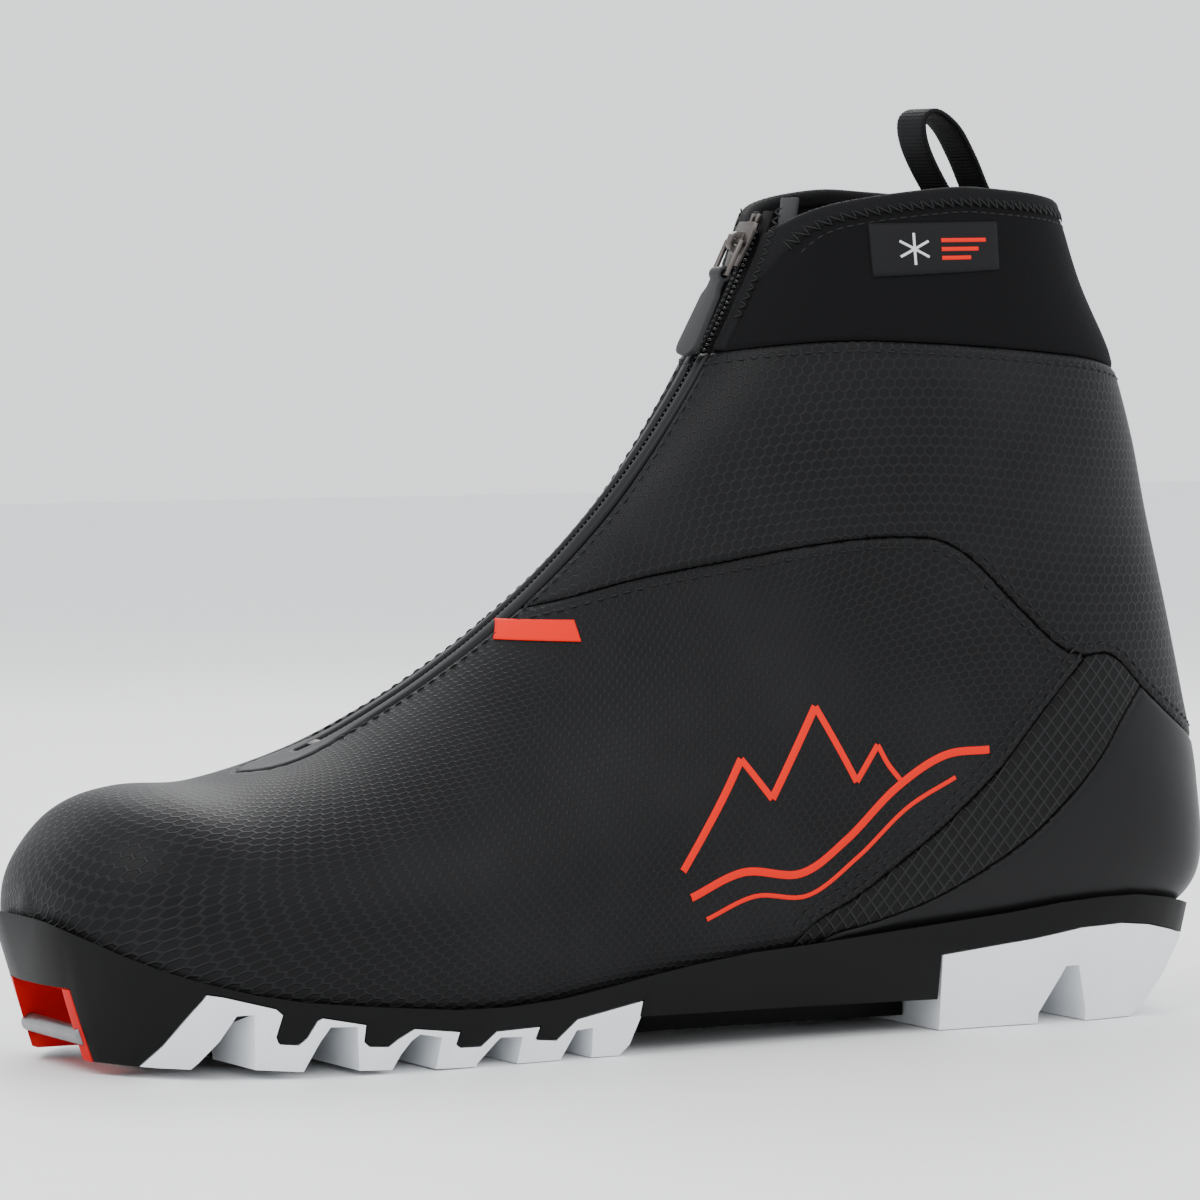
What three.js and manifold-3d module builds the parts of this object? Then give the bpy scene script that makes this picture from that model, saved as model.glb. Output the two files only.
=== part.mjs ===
// Left cross country ski boot: an inner boot with quick laces under a zipped cover, on a bar-type sole.
// Millimetres. X runs from toe to heel, the outer (lateral) side is -Y, Z is up and the floor is Z = 0.
import * as THREE from 'three';
import { mergeVertices } from 'three/addons/utils/BufferGeometryUtils.js';
import Module from 'manifold-3d';

const wasm = await Module();
wasm.setup();

// ---------------------------------------------------------------- sizes
const bootLength = 295;        // toe bumper to heel, outside
const bootWidth = 92;          // across the ball of the foot, outside
const bootHeight = 192;        // floor to the top of the collar

const gap = 0.3;               // between pieces that touch
const skinThick = 1.2;         // outer fabric panels
const collarThick = 2.6;       // neoprene collar
const linerThick = 3;          // padded inner boot
const linerGap = 0.4;          // between the outer panels and the inner boot
const tongueThick = 3;
const tongueTabLean = 5;       // the tongue's pull tab leans forward this far
const laceRoom = 12;           // space under the zipped cover, along the instep
const footbedThick = 3.5;
const boardThick = 1.6;        // lasting board
const boardShare = 0.78;       // its share of the form's width

const soleWall = 1.8;          // rubber wall beside the upper
const soleClear = 0.35;        // bond line between sole and upper
const soleDraft = 2.5;         // the sole's sides lean in by this much at the floor
const treadCover = 1.2;        // black rubber left above a white tread

const placketHalf = 4.9;       // half width of the smooth strips beside the zip
const zipSlotHalf = 2.1;       // half of the open line between those strips
const collarSlotHalf = 5;      // half of the opening between the collar's front edges
const bindingWide = 4.5;       // rolled edge around the collar
const bindingProud = 0.4;      // how far that edge stands out

const tapeThick = 0.6;
const coilThick = 0.9;
const coilInner = 0.8;         // the two coils' inner edges, from the centre line
const coilOuter = 1.7;
const sliderLong = 11;
const sliderHalf = 4.2;
const sliderPlate = 1;         // thickness of the slider's plates
const sliderClear = 0.5;       // slider to cover
const sliderUnder = 1.3;       // tape to the slider's lower plate, because the tape curves away
const webHalf = 0.5;           // half thickness of the slider's web
const linkWire = 1;
const linkLong = 8.3;          // between the two bars of the puller's link
const linkHalf = 3.7;
const tabLong = 29;            // puller, from its pivot to its tip
const tabHalf = 4.2;
const tabThick = 1.6;
const pullerTilt = 3.2;          // degrees that the hanging puller stands off the cover

const laceRadius = 1;
const laceSides = 8;
const eyestayThick = 0.9;
const loopWeb = 0.6;           // webbing thickness of the lace loops
const loopLong = 5;
const loopY = 14.5;            // lace loops, from the centre line
const lockWide = 20;           // lace lock
const lockLong = 10;
const lockTall = 5.6;
const buttonSize = 3.4;
const buttonOut = 3.5;
const buttonStroke = 2.5;

const barRadius = 2;           // toe bar
const barX = 13.6;
const barZ = 8.3;
const slotHalf = 13.5;         // free half width over the toe bar
const slotDeep = 25;           // how far back the toe slot reaches
const slotTop = 18.5;
const cassetteWall = 2.2;
const cassetteRoof = 1.4;      // cassette left between the slot and the upper
const grooveHalf = 4;          // binding guide grooves under the sole
const grooveY = 12;
const grooveDeep = 4;

const loopBand = 12;           // heel pull loop: webbing width
const loopBandThick = 1.3;
const labelThick = 0.5;

// Reference outlines below are drawn for a 295 x 92 x 192 boot and follow these ratios.
const alongX = bootLength / 295;
const acrossY = bootWidth / 92;
const upZ = bootHeight / 192;

// ---------------------------------------------------------------- form of the upper
// The instep and front of the ankle follow one arc, which is also the path of the zip.
const arcX = -10.1;
const arcZ = 263.5;
const arcRadius = 212.7;

function arcPoint(degrees) {
  const t = THREE.MathUtils.degToRad(degrees);
  return [arcX + arcRadius * Math.sin(t), arcZ - arcRadius * Math.cos(t)];
}

// Each section: front or top point, back or bottom point, lateral and medial half widths,
// where the widest place is (share of the way), and how square the two halves are.
const sections = [
  [[6.4, 38.5], [6.4, 31], 3, 3, 0.5, 2, 2],
  [[8.2, 44.2], [8.4, 25.5], 16, 17, 0.55, 2.2, 2.6],
  [[12.2, 50.1], [11.8, 20.5], 25, 26, 0.6, 2.3, 3.4],
  [[20.5, 57.4], [19.5, 17], 34, 34, 0.62, 2.3, 4.4],
  [[32, 60.6], [32, 13.2], 40.5, 40, 0.62, 2.3, 5.4],
  [[50, 61.2], [50, 10.6], 45, 43.5, 0.62, 2.2, 6],
  [arcPoint(23), [74, 8.6], 46.5, 45, 0.63, 2, 6.4],
  [arcPoint(29), [100, 7.8], 45.5, 44, 0.66, 1.85, 6.4],
  [arcPoint(34.6), [140, 10.4], 42, 40, 0.66, 1.8, 5.6],
  [arcPoint(39.4), [185, 15.4], 39, 37, 0.64, 1.8, 4.8],
  [arcPoint(43.2), [235, 18.6], 38, 36.5, 0.62, 1.8, 4.2],
  [arcPoint(46.6), [278, 19.8], 37.5, 36.5, 0.6, 1.85, 3.6],
  [arcPoint(49.3), [298.6, 28.5], 37.5, 36.5, 0.58, 1.9, 3],
  [arcPoint(51.8), [301.2, 51], 38, 37, 0.55, 1.95, 2.5],
  [arcPoint(54.1), [297.7, 72], 38.5, 37.5, 0.53, 2, 2.3],
  [arcPoint(56.2), [292.2, 94], 39, 38, 0.52, 2, 2.3],
  [arcPoint(58), [286.8, 115], 38.5, 37.5, 0.52, 2, 2.3],
  [arcPoint(59.8), [282.6, 134], 37.5, 36.5, 0.52, 2, 2.3],
  [arcPoint(62), [276.5, 153], 36, 35.5, 0.52, 2, 2.3],
  [arcPoint(66.5), [268, 171], 34, 33.5, 0.52, 2, 2.2],
  [arcPoint(74), [259.5, 195], 31.5, 31.5, 0.52, 2, 2.2],
].map(([front, back, lateral, medial, widest, topPower, bottomPower]) => [
  front[0] * alongX, front[1] * upZ, back[0] * alongX, back[1] * upZ,
  lateral * acrossY, medial * acrossY, widest, topPower, bottomPower,
]);
const lastSection = sections.length - 1;

// Smooth section between the listed ones; u runs 0 at the toe tip to 1 at the collar.
function sectionAt(u) {
  const t = THREE.MathUtils.clamp(u, 0, 1) * lastSection;
  const i = Math.min(Math.floor(t), lastSection - 1);
  const w = t - i;
  const b = sections[i];
  const c = sections[i + 1];
  const a = i > 0 ? sections[i - 1] : b.map((v, k) => 2 * v - c[k]);
  const d = i + 2 <= lastSection ? sections[i + 2] : c.map((v, k) => 2 * v - b[k]);
  return b.map((v, k) => 0.5 * (2 * v + (c[k] - a[k]) * w
    + (2 * a[k] - 5 * v + 4 * c[k] - d[k]) * w * w
    + (3 * v - a[k] - 3 * c[k] + d[k]) * w * w * w));
}

// Point of the form: angle 0 is the ridge, negative angles are lateral, +-PI is the underside.
// drop lowers the ridge, fading out at the widest place.
function formPoint(u, angle, drop = 0) {
  const [fx, fz, bx, bz, lateral, medial, widest, topPower, bottomPower] = sectionAt(u);
  const turned = angle > Math.PI ? angle - 2 * Math.PI : angle;
  const upper = Math.abs(turned) <= Math.PI / 2;
  const power = upper ? topPower : bottomPower;
  const s = Math.abs(Math.sin(turned));
  const c = Math.abs(Math.cos(turned));
  const reach = (s ** power + c ** power) ** (-1 / power);
  const depth = upper ? widest * (1 - reach * c) : widest + (1 - widest) * reach * c;
  const start = drop / Math.hypot(bx - fx, bz - fz);
  const share = depth + start * Math.max(1 - depth / widest, 0);
  const y = (turned < 0 ? -lateral : medial) * reach * s;
  return new THREE.Vector3(fx + (bx - fx) * share, y, fz + (bz - fz) * share);
}

// The same point moved out along the surface normal.
function onForm(u, angle, out = 0, room = 0) {
  const du = 0.002;
  const da = 0.01;
  const u0 = Math.max(u - du, 0);
  const u1 = Math.min(u + du, 1);
  const drop = room * lowered(u);
  const alongStep = formPoint(u1, angle, room * lowered(u1)).sub(formPoint(u0, angle, room * lowered(u0)));
  const aroundStep = formPoint(u, angle + da, drop).sub(formPoint(u, angle - da, drop));
  const normal = alongStep.cross(aroundStep).normalize();
  return formPoint(u, angle, drop).addScaledVector(normal, out);
}

// The lace room grows from nothing in front of the zip to its full height.
function lowered(u) {
  return THREE.MathUtils.smoothstep(u, 0.24, 0.37);
}

// Angle at which the upper half of a section is a given distance from the centre line.
function angleAt(u, y, under = false) {
  const [, , , , lateral, medial, , topPower, bottomPower] = sectionAt(u);
  const power = under ? bottomPower : topPower;
  const s = Math.min(Math.abs(y) / (y < 0 ? lateral : medial), 0.999);
  const c = (1 - s ** power) ** (1 / power);
  const angle = under ? Math.PI - Math.atan2(s, c) : Math.atan2(s, c);
  return y < 0 ? -angle : angle;
}

// Section whose ridge point stands at a given place on the zip arc.
function sectionOfArc(degrees) {
  const [, targetZ] = arcPoint(degrees);
  let low = 5 / lastSection;
  let high = 1;
  for (let k = 0; k < 40; k += 1) {
    const middle = (low + high) / 2;
    if (sectionAt(middle)[1] < targetZ * upZ) low = middle;
    else high = middle;
  }
  return low;
}

// Section and angle of the surface point that a side view shows at (x, z).
function locate(x, z) {
  const miss = (u) => {
    const [fx, fz, bx, bz] = sectionAt(u);
    return (bx - fx) * (z * upZ - fz) - (bz - fz) * (x * alongX - fx);
  };
  let low = 0;
  while (miss(low) * miss(low + 0.01) > 0 && low < 0.98) low += 0.01;
  let high = low + 0.01;
  for (let k = 0; k < 30; k += 1) {
    const middle = (low + high) / 2;
    if (miss(low) * miss(middle) <= 0) high = middle;
    else low = middle;
  }
  const [fx, fz, bx, bz, , , widest, topPower, bottomPower] = sectionAt(low);
  const long = Math.hypot(bx - fx, bz - fz);
  const share = ((x * alongX - fx) * (bx - fx) + (z * upZ - fz) * (bz - fz)) / long ** 2;
  const upper = share < widest;
  const power = upper ? topPower : bottomPower;
  const cosine = THREE.MathUtils.clamp(upper ? 1 - share / widest : (share - widest) / (1 - widest), 0, 1);
  const sine = (1 - cosine ** power) ** (1 / power);
  return [low, upper ? Math.atan2(sine, cosine) : Math.PI - Math.atan2(sine, cosine)];
}

// ---------------------------------------------------------------- solids
const shellSteps = 26;         // rows of the upper's surface from toe to collar
const range = (from, to, steps) => Array.from({ length: steps + 1 }, (_, k) => from + (to - from) * k / steps);

function solidFrom(geometry) {
  geometry.deleteAttribute('normal');
  geometry.deleteAttribute('uv');
  const merged = mergeVertices(geometry, 1e-5);
  return new wasm.Manifold(new wasm.Mesh({
    numProp: 3,
    vertProperties: new Float32Array(merged.attributes.position.array),
    triVerts: new Uint32Array(merged.index.array),
  }));
}

function geometryFrom(solid) {
  const mesh = solid.getMesh();
  const geometry = new THREE.BufferGeometry();
  geometry.setAttribute('position', new THREE.BufferAttribute(mesh.vertProperties, 3));
  geometry.setIndex(new THREE.BufferAttribute(mesh.triVerts, 1));
  const flat = geometry.toNonIndexed();
  flat.computeVertexNormals();
  return flat;
}

// Closed solid between two grids of points, top[i][j] and under[i][j].
// With around, the rows are rings: the first is capped and the last stays an open rim.
function slab(top, under, around = false) {
  const position = [];
  const triangle = (...points) => points.forEach((p) => position.push(p.x, p.y, p.z));
  const quad = (a, b, c, d) => {
    triangle(a, b, c);
    triangle(a, c, d);
  };
  const rows = top.length - 1;
  const columns = top[0].length;
  const next = (j) => (j + 1) % columns;
  const last = around ? columns : columns - 1;
  for (let j = 0; j < last; j += 1) {
    const k = next(j);
    for (let i = 0; i < rows; i += 1) {
      quad(top[i][j], top[i + 1][j], top[i + 1][k], top[i][k]);
      quad(under[i][j], under[i][k], under[i + 1][k], under[i + 1][j]);
    }
    quad(top[rows][k], top[rows][j], under[rows][j], under[rows][k]);
    if (!around) quad(top[0][j], top[0][k], under[0][k], under[0][j]);
  }
  if (around) {
    const middle = (ring) => ring.reduce((sum, p) => sum.add(p), new THREE.Vector3()).divideScalar(columns);
    const topCentre = middle(top[0]);
    const underCentre = middle(under[0]);
    for (let j = 0; j < columns; j += 1) {
      triangle(topCentre, top[0][j], top[0][next(j)]);
      triangle(underCentre, under[0][next(j)], under[0][j]);
    }
  } else {
    for (let i = 0; i < rows; i += 1) {
      quad(top[i + 1][0], top[i][0], under[i][0], under[i + 1][0]);
      quad(top[i][last], top[i + 1][last], under[i + 1][last], under[i][last]);
    }
  }
  const geometry = new THREE.BufferGeometry();
  geometry.setAttribute('position', new THREE.Float32BufferAttribute(position, 3));
  return geometry;
}

// Filled solid of the form, grown by out.
function formSolid(out) {
  const rings = range(0, 1, shellSteps).map((u) => ring(u, out, 0));
  const centre = rings.map((points) => {
    const middle = points.reduce((sum, p) => sum.add(p), new THREE.Vector3()).divideScalar(points.length);
    return points.map((p) => p.clone().lerp(middle, 0.98));
  });
  return solidFrom(slab(rings, centre, true));
}

// Angles of the rings' points: close together at the ridge, where the zip lies.
const halfRing = [0.06, 0.135, 0.245, 0.4, 0.62, 0.9, 1.2, 1.55, 1.92, 2.27, 2.6, 2.9];
const ringAngles = [...halfRing.map((a) => -a).reverse(), ...halfRing];

function ring(u, out, room) {
  return ringAngles.map((angle) => onForm(u, angle, out, room));
}

// Open-topped shell that follows the form between two offsets.
// All cups share their rows, so two of them never cross between rows.
function cup(outer, inner, room, firstRow, lastRow) {
  const us = range(firstRow / shellSteps, lastRow / shellSteps, lastRow - firstRow);
  return slab(us.map((u) => ring(u, outer, room)), us.map((u) => ring(u, inner, room)), true);
}

// Piece that lies on the form: rows of sections, columns of distances from the centre line.
function strip(us, ysAt, outer, inner, room = 0, under = false) {
  const grid = (out) => us.map((u) => ysAt(u).map((y) => {
    const angle = angleAt(u, y, under);
    return onForm(u, angle < 0 && under ? angle + 2 * Math.PI : angle, out, room);
  }));
  return slab(grid(outer), grid(inner));
}

// Upright extrusion of an outline in side view (x, z), from y0 to y1.
function sidePrism(points, y0 = -90, y1 = 90) {
  const shape = new THREE.Shape(points.map(([x, z]) => new THREE.Vector2(x * alongX, z * upZ)));
  const geometry = new THREE.ExtrudeGeometry(shape, { depth: y1 - y0, bevelEnabled: false });
  geometry.rotateX(Math.PI / 2).translate(0, y1, 0);
  return solidFrom(geometry);
}

// Upright extrusion of an outline in top view (x, y), from z0 to z1.
function planPrism(points, z0, z1) {
  const shape = new THREE.Shape(points.map(([x, y]) => new THREE.Vector2(x * alongX, y)));
  const geometry = new THREE.ExtrudeGeometry(shape, { depth: (z1 - z0) * upZ, bevelEnabled: false });
  geometry.translate(0, 0, z0 * upZ);
  return solidFrom(geometry);
}

function roundPath(Kind, x, y, radius, sides) {
  return new Kind(range(0, 2 * Math.PI, sides).slice(1)
    .map((t) => new THREE.Vector2(x + radius * Math.cos(t), y + radius * Math.sin(t))));
}

function box(x0, x1, y0, y1, z0, z1) {
  const geometry = new THREE.BoxGeometry(x1 - x0, y1 - y0, z1 - z0);
  return geometry.translate((x0 + x1) / 2, (y0 + y1) / 2, (z0 + z1) / 2);
}

// Smooth open line through a few side-view points.
function smooth(points, steps) {
  return new THREE.SplineCurve(points.map(([x, z]) => new THREE.Vector2(x, z)))
    .getPoints(steps).map((p) => [p.x, p.y]);
}

// Outline of a line given some width to both sides.
function thickened(line, half) {
  const shifted = (sign) => line.map(([x, z], k) => {
    const [ax, az] = line[Math.max(k - 1, 0)];
    const [bx, bz] = line[Math.min(k + 1, line.length - 1)];
    const long = Math.hypot(bx - ax, bz - az);
    return [x - sign * half * (bz - az) / long, z + sign * half * (bx - ax) / long];
  });
  return [...shifted(1), ...shifted(-1).reverse()];
}

const seamCut = (line) => sidePrism(thickened(line, gap / 2));

// The largest of the separate bodies that a cut leaves, or the one on a given side.
function bodies(solid) {
  return solid.decompose().sort((a, b) => b.volume() - a.volume());
}

const sideOf = (solid) => {
  const bounds = solid.boundingBox();
  return (bounds.min[1] + bounds.max[1]) / 2;
};

// ---------------------------------------------------------------- scene
const boot = new THREE.Group();

const look = {
  fabric: [0x26262a, 0.72, 0],
  placket: [0x1c1c1f, 0.5, 0],
  neoprene: [0x151517, 0.95, 0],
  counter: [0x1a1a1c, 0.42, 0],
  lining: [0x303034, 0.95, 0],
  board: [0x8a8378, 0.9, 0],
  rubber: [0x1b1a1b, 0.55, 0],
  tread: [0xdfe3e6, 0.6, 0],
  red: [0xe0201c, 0.4, 0],
  print: [0xf5482f, 0.6, 0],
  steel: [0xa3a5a6, 0.35, 1],
  gunmetal: [0x5b5350, 0.35, 1],
  pull: [0x4a4b4d, 0.7, 0],
  webbing: [0x141415, 0.9, 0],
  lace: [0x1d1d1f, 0.9, 0],
  plastic: [0x232326, 0.5, 0],
  carbon: [0x2a2b2d, 0.4, 0],
};

const materials = Object.fromEntries(Object.entries(look).map(([name, [color, roughness, metalness]]) => [
  name, new THREE.MeshStandardMaterial({ name, color, roughness, metalness }),
]));

function add(name, geometry, material) {
  const mesh = new THREE.Mesh(geometry, materials[material]);
  mesh.name = name;
  boot.add(mesh);
}

// ---------------------------------------------------------------- outer panels
const midSeam = [
  ...smooth([[112, 94.5], [124, 97.6], [132, 99.7], [149, 104.2], [166.5, 107.4], [184, 110.6], [199, 112.5],
    [212, 112.4], [218, 110.6], [224.3, 106.5], [236, 95.8], [247, 86.8], [254.3, 84.6]], 34),
  ...smooth([[260, 85], [264.8, 83], [271.5, 77.2], [280.7, 70.8], [291, 65.3], [306, 58]], 14),
];
const collarSeam = smooth([[164, 151.8], [174.6, 154.8], [187, 156.6], [198.5, 157.1], [211.6, 156.6],
  [226.4, 155.7], [242.8, 154.4], [256, 153.2], [266, 151.6], [288, 147]], 24);
const bandOuter = smooth([[271.5, 77.2], [264.8, 69.5], [259, 61.5], [250.6, 52.6], [240, 43.8], [227, 36.2],
  [213, 29.8], [199, 25.5], [186, 22], [176, 10]], 22);
const bandInner = smooth([[254.3, 84.6], [247, 77], [239, 68], [231.3, 59.4], [218.2, 48.4], [205, 39.3],
  [192.4, 31.3], [181, 25], [168, 8]], 20);
const rimLine = smooth([[176, 168], [184, 178.5], [189.5, 184.5], [195, 187.7], [202, 189.5], [212, 191],
  [223.5, 192], [234, 191.5], [247.7, 190.4], [259, 188.7], [275, 186]], 24);

// Half width of the placket at each place along the boot; its toe end is a rounded tongue.
const placketWidths = [[57, 0.6], [59, 4.2], [62, 6.8], [67, 8], [73, 7.4], [82, 5.6], [94, placketHalf],
  [164, placketHalf], [171, 6.2], [178, 7.5]];

function placketOutline(grow) {
  const side = placketWidths.map(([x, half], k) => [x + (k === 0 ? -grow : 0), half * acrossY + grow]);
  return [...side, ...side.map(([x, y]) => [x, -y]).reverse()];
}

// Side-view band that holds only the ridge, between two places on the zip arc.
function ridgeBand(fromDegrees, toDegrees, outside, inside) {
  const angles = range(fromDegrees, toDegrees, 16);
  const at = (degrees, radius) => {
    const t = THREE.MathUtils.degToRad(degrees);
    return [arcX + radius * Math.sin(t), arcZ - radius * Math.cos(t)];
  };
  return [...angles.map((a) => at(a, arcRadius - outside)),
    ...angles.map((a) => at(a, arcRadius + inside)).reverse()];
}

const collarRow = 21;          // first row of the collar's blank
const zipFoot = 23;            // places on the arc, degrees: end of the slot by the toe
const collarFoot = 60.4;       // where the collar seam meets the zip
const zipHead = 68.9;          // top of the zip

const rimCut = sidePrism([...rimLine, [290, 186], [290, 240], [160, 240], [160, 168]]);
const collarRegion = sidePrism([...collarSeam, [320, 147], [320, 240], [150, 240], [150, 151.8]]);
const collarSeamCut = seamCut(collarSeam);

// Flat outline of an inner sole: a share of the form's width, with rounded ends.
function insoleOutline(share, inset = 0) {
  const side = range(0.155, 0.565, 16).map((u) => {
    const [, , underX, , lateral, medial] = sectionAt(u);
    const round = Math.sqrt(Math.min((u - 0.13) / 0.1, (0.6 - u) / 0.06, 1));
    return [underX / alongX, lateral * share * round - inset, medial * share * round - inset];
  });
  return [...side.map(([x, l]) => [x, -l]), ...side.map(([x, , m]) => [x, m]).reverse()];
}

function outerPanels() {
  const whole = solidFrom(cup(0, -skinThick, 0, 0, shellSteps));
  const lower = whole.subtract(collarRegion).subtract(collarSeamCut);
  const placketZone = planPrism(placketOutline(-gap / 2), 50, 164);
  const slot = sidePrism(ridgeBand(zipFoot, 80, 6, 9), -zipSlotHalf, zipSlotHalf);
  add('zip_placket', geometryFrom(bodies(lower.intersect(placketZone).subtract(slot))[0]), 'placket');
  const underBoard = planPrism(insoleOutline(boardShare, gap), 0, 42);
  const panels = bodies(lower
    .subtract(planPrism(placketOutline(gap / 2), 50, 164))
    .subtract(underBoard)
    .subtract(seamCut(midSeam))
    .subtract(seamCut(bandOuter))
    .subtract(seamCut(bandInner)));
  const [vamp, ankle, counter] = panels;
  add('vamp', geometryFrom(vamp), 'fabric');
  add('ankle_panel', geometryFrom(ankle), 'fabric');
  add('heel_counter', geometryFrom(counter), 'counter');
  panels.slice(3, 5).forEach((band) => {
    add(sideOf(band) < 0 ? 'heel_band_lateral' : 'heel_band_medial', geometryFrom(band), 'counter');
  });
  const underCup = solidFrom(cup(0, -boardThick + gap, 0, 0, 18));
  const board = underCup.intersect(planPrism(insoleOutline(boardShare, 2 * gap), 0, 40));
  add('lasting_board', geometryFrom(bodies(board)[0]), 'board');
}

function collar() {
  const open = sidePrism(ridgeBand(55, 84, 30, 12), -collarSlotHalf, collarSlotHalf);
  const region = collarRegion.subtract(rimCut).subtract(collarSeamCut).subtract(open);
  const thick = solidFrom(cup(0, -collarThick, 0, collarRow, shellSteps));
  const rolled = solidFrom(cup(bindingProud, -collarThick - bindingProud, 0, collarRow, shellSteps));
  const edge = (width) => {
    const drop = rimLine.map(([x, z]) => [x, z - width]);
    const top = sidePrism([...drop, [300, 186 - width], [300, 240], [150, 240], [150, 168 - width]]);
    const reach = collarSlotHalf + width;
    return top.add(sidePrism(ridgeBand(55, 84, 30, 12), -reach, reach));
  };
  add('collar', geometryFrom(bodies(thick.intersect(region).subtract(edge(bindingWide + gap)))[0]), 'neoprene');
  add('collar_binding', geometryFrom(bodies(rolled.intersect(region).intersect(edge(bindingWide)))[0]), 'neoprene');
}

function trim() {
  const backRows = range(0.79, 0.893, 8);
  const backStrip = strip(backRows, () => range(8, -8, 6), gap + 0.9, gap, 0, true);
  add('back_strip', backStrip, 'fabric');
  const patch = (corners, rows, columns, thick) => {
    const [a, b, c, d] = corners;
    const mix = (p, q, t) => [p[0] + (q[0] - p[0]) * t, p[1] + (q[1] - p[1]) * t];
    const grid = (out) => range(0, 1, rows).map((v) => range(0, 1, columns).map((h) => {
      const [u, angle] = locate(...mix(mix(a, b, h), mix(d, c, h), v));
      return onForm(u, -angle, out);
    }));
    return slab(grid(gap + 0.1 + thick), grid(gap + 0.1));
  };
  add('collar_label', patch([[232, 173], [202.3, 171.3], [202.5, 183.4], [232, 184]], 3, 6, labelThick), 'webbing');
  add('side_tag', patch([[132.4, 90.2], [116.5, 90.6], [119.8, 94.9], [132.6, 94.9]], 2, 5, labelThick), 'print');
}

// ---------------------------------------------------------------- inner boot
const throatHalf = 15;
const throatFoot = 28;         // degrees on the arc
const linerOuter = -skinThick - linerGap;
const facingLevel = linerOuter + gap + 0.3;
const linerTopRow = 22;        // last row of the padded cuff

function innerBoot() {
  const liner = solidFrom(cup(linerOuter, linerOuter - linerThick, laceRoom, 0, linerTopRow));
  const half = throatHalf * acrossY;
  const [footX] = arcPoint(throatFoot);
  const throat = planPrism([[footX, -half * 0.6], [footX - 5, -half * 0.3], [footX - 5, half * 0.3],
    [footX, half * 0.6], [footX + 10, half], [230, half], [230, -half], [footX + 10, -half]], 55, 220);
  add('inner_boot', geometryFrom(bodies(liner.subtract(throat))[0]), 'lining');
  const tongueRows = range(sectionOfArc(throatFoot + 3.4), sectionOfArc(68), 14);
  const tongueHalf = (u) => {
    const start = THREE.MathUtils.smoothstep(u, tongueRows[0] - 0.01, tongueRows[0] + 0.06);
    return (half - 1.2) * (0.72 + 0.28 * start);
  };
  const tongue = strip(tongueRows, (u) => range(-tongueHalf(u), tongueHalf(u), 8),
    linerOuter, linerOuter - tongueThick, laceRoom);
  add('tongue', tongue, 'lining');
  const tabFoot = sectionOfArc(64);
  const tabHead = sectionOfArc(69.6);
  const tabGrid = (out) => range(tabFoot, tabHead, 5).map((u) => range(-3.4, 3.4, 4).map((y) => {
    const lean = tongueTabLean * (u - tabFoot) / (tabHead - tabFoot);
    return onForm(u, angleAt(u, y), linerOuter + gap + lean + out, laceRoom);
  }));
  add('tongue_tab', slab(tabGrid(1), tabGrid(0)), 'pull');
  const bedUnder = linerOuter - linerThick - gap;
  const bedCup = solidFrom(cup(bedUnder, bedUnder - footbedThick, 0, 3, 18));
  const footbed = bedCup.intersect(planPrism(insoleOutline(0.7), 0, 40));
  add('footbed', geometryFrom(bodies(footbed)[0]), 'lining');
  [-1, 1].forEach((side) => {
    const rows = range(sectionOfArc(throatFoot + 2), sectionOfArc(57.5), 14);
    const facing = strip(rows, () => range(side * (half + 0.6), side * (half + 11), 4).sort((a, b) => a - b),
      facingLevel + eyestayThick, facingLevel, laceRoom);
    add(side < 0 ? 'eyestay_lateral' : 'eyestay_medial', facing, 'fabric');
  });
}

// ---------------------------------------------------------------- laces
const laceRows = [32, 37, 42, 47, 52];   // degrees on the arc
const lockPlace = 58;
const laceRest = linerOuter + gap + laceRadius;             // lace lying on the tongue
const laceHigh = laceRest + 2 * laceRadius + 0.4;           // lace crossing over it
const loopPlay = 0.45;         // lace to loop webbing
const loopLevel = facingLevel + eyestayThick + gap + loopWeb + loopPlay + laceRadius;
const degreeLong = THREE.MathUtils.degToRad(arcRadius + laceRoom);   // mm along the arc for one degree

function lacePoint(degrees, y, level) {
  const u = sectionOfArc(degrees);
  return onForm(u, angleAt(u, y), level, laceRoom);
}

// One crossing from a loop to the next loop on the other side, over or under its partner.
function crossing(fromDegrees, toDegrees, side, middleLevel) {
  return range(0, 1, 8).map((t) => {
    const hump = Math.sin(Math.PI * t) ** 2;
    const level = loopLevel + (middleLevel - loopLevel) * hump;
    return lacePoint(fromDegrees + (toDegrees - fromDegrees) * t, side * (loopY - 3.5) * (1 - 2 * t), level);
  });
}

const inLoop = (degrees, side) => [-0.9, 0, 0.9].map((step) => lacePoint(degrees + step, side * loopY, loopLevel));
const lockLevel = linerOuter + gap + lockTall / 2;
const laceHole = 3.1;          // lace holes in the lock, from its middle
const tailLong = 3.6;          // degrees of lace above the lock

function laceHalf(side) {
  const points = [];
  laceRows.forEach((row, k) => {
    const here = k % 2 === 0 ? side : -side;
    points.push(...inLoop(row, here));
    if (k < laceRows.length - 1) {
      points.push(...crossing(row + 1.7, laceRows[k + 1] - 1.7, here, here < 0 ? laceHigh : laceRest));
    }
  });
  const end = laceRows.length % 2 === 1 ? side : -side;
  const lockHalf = lockLong / 2 / degreeLong;
  points.push(lacePoint(laceRows[4] + 2.1, end * 13, loopLevel));
  points.push(lacePoint(lockPlace - lockHalf - 1, end * laceHole * 1.4, lockLevel));
  points.push(...[-lockHalf, 0, lockHalf, lockHalf + tailLong]
    .map((step) => lacePoint(lockPlace + step, end * laceHole, lockLevel)));
  return points;
}

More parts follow.
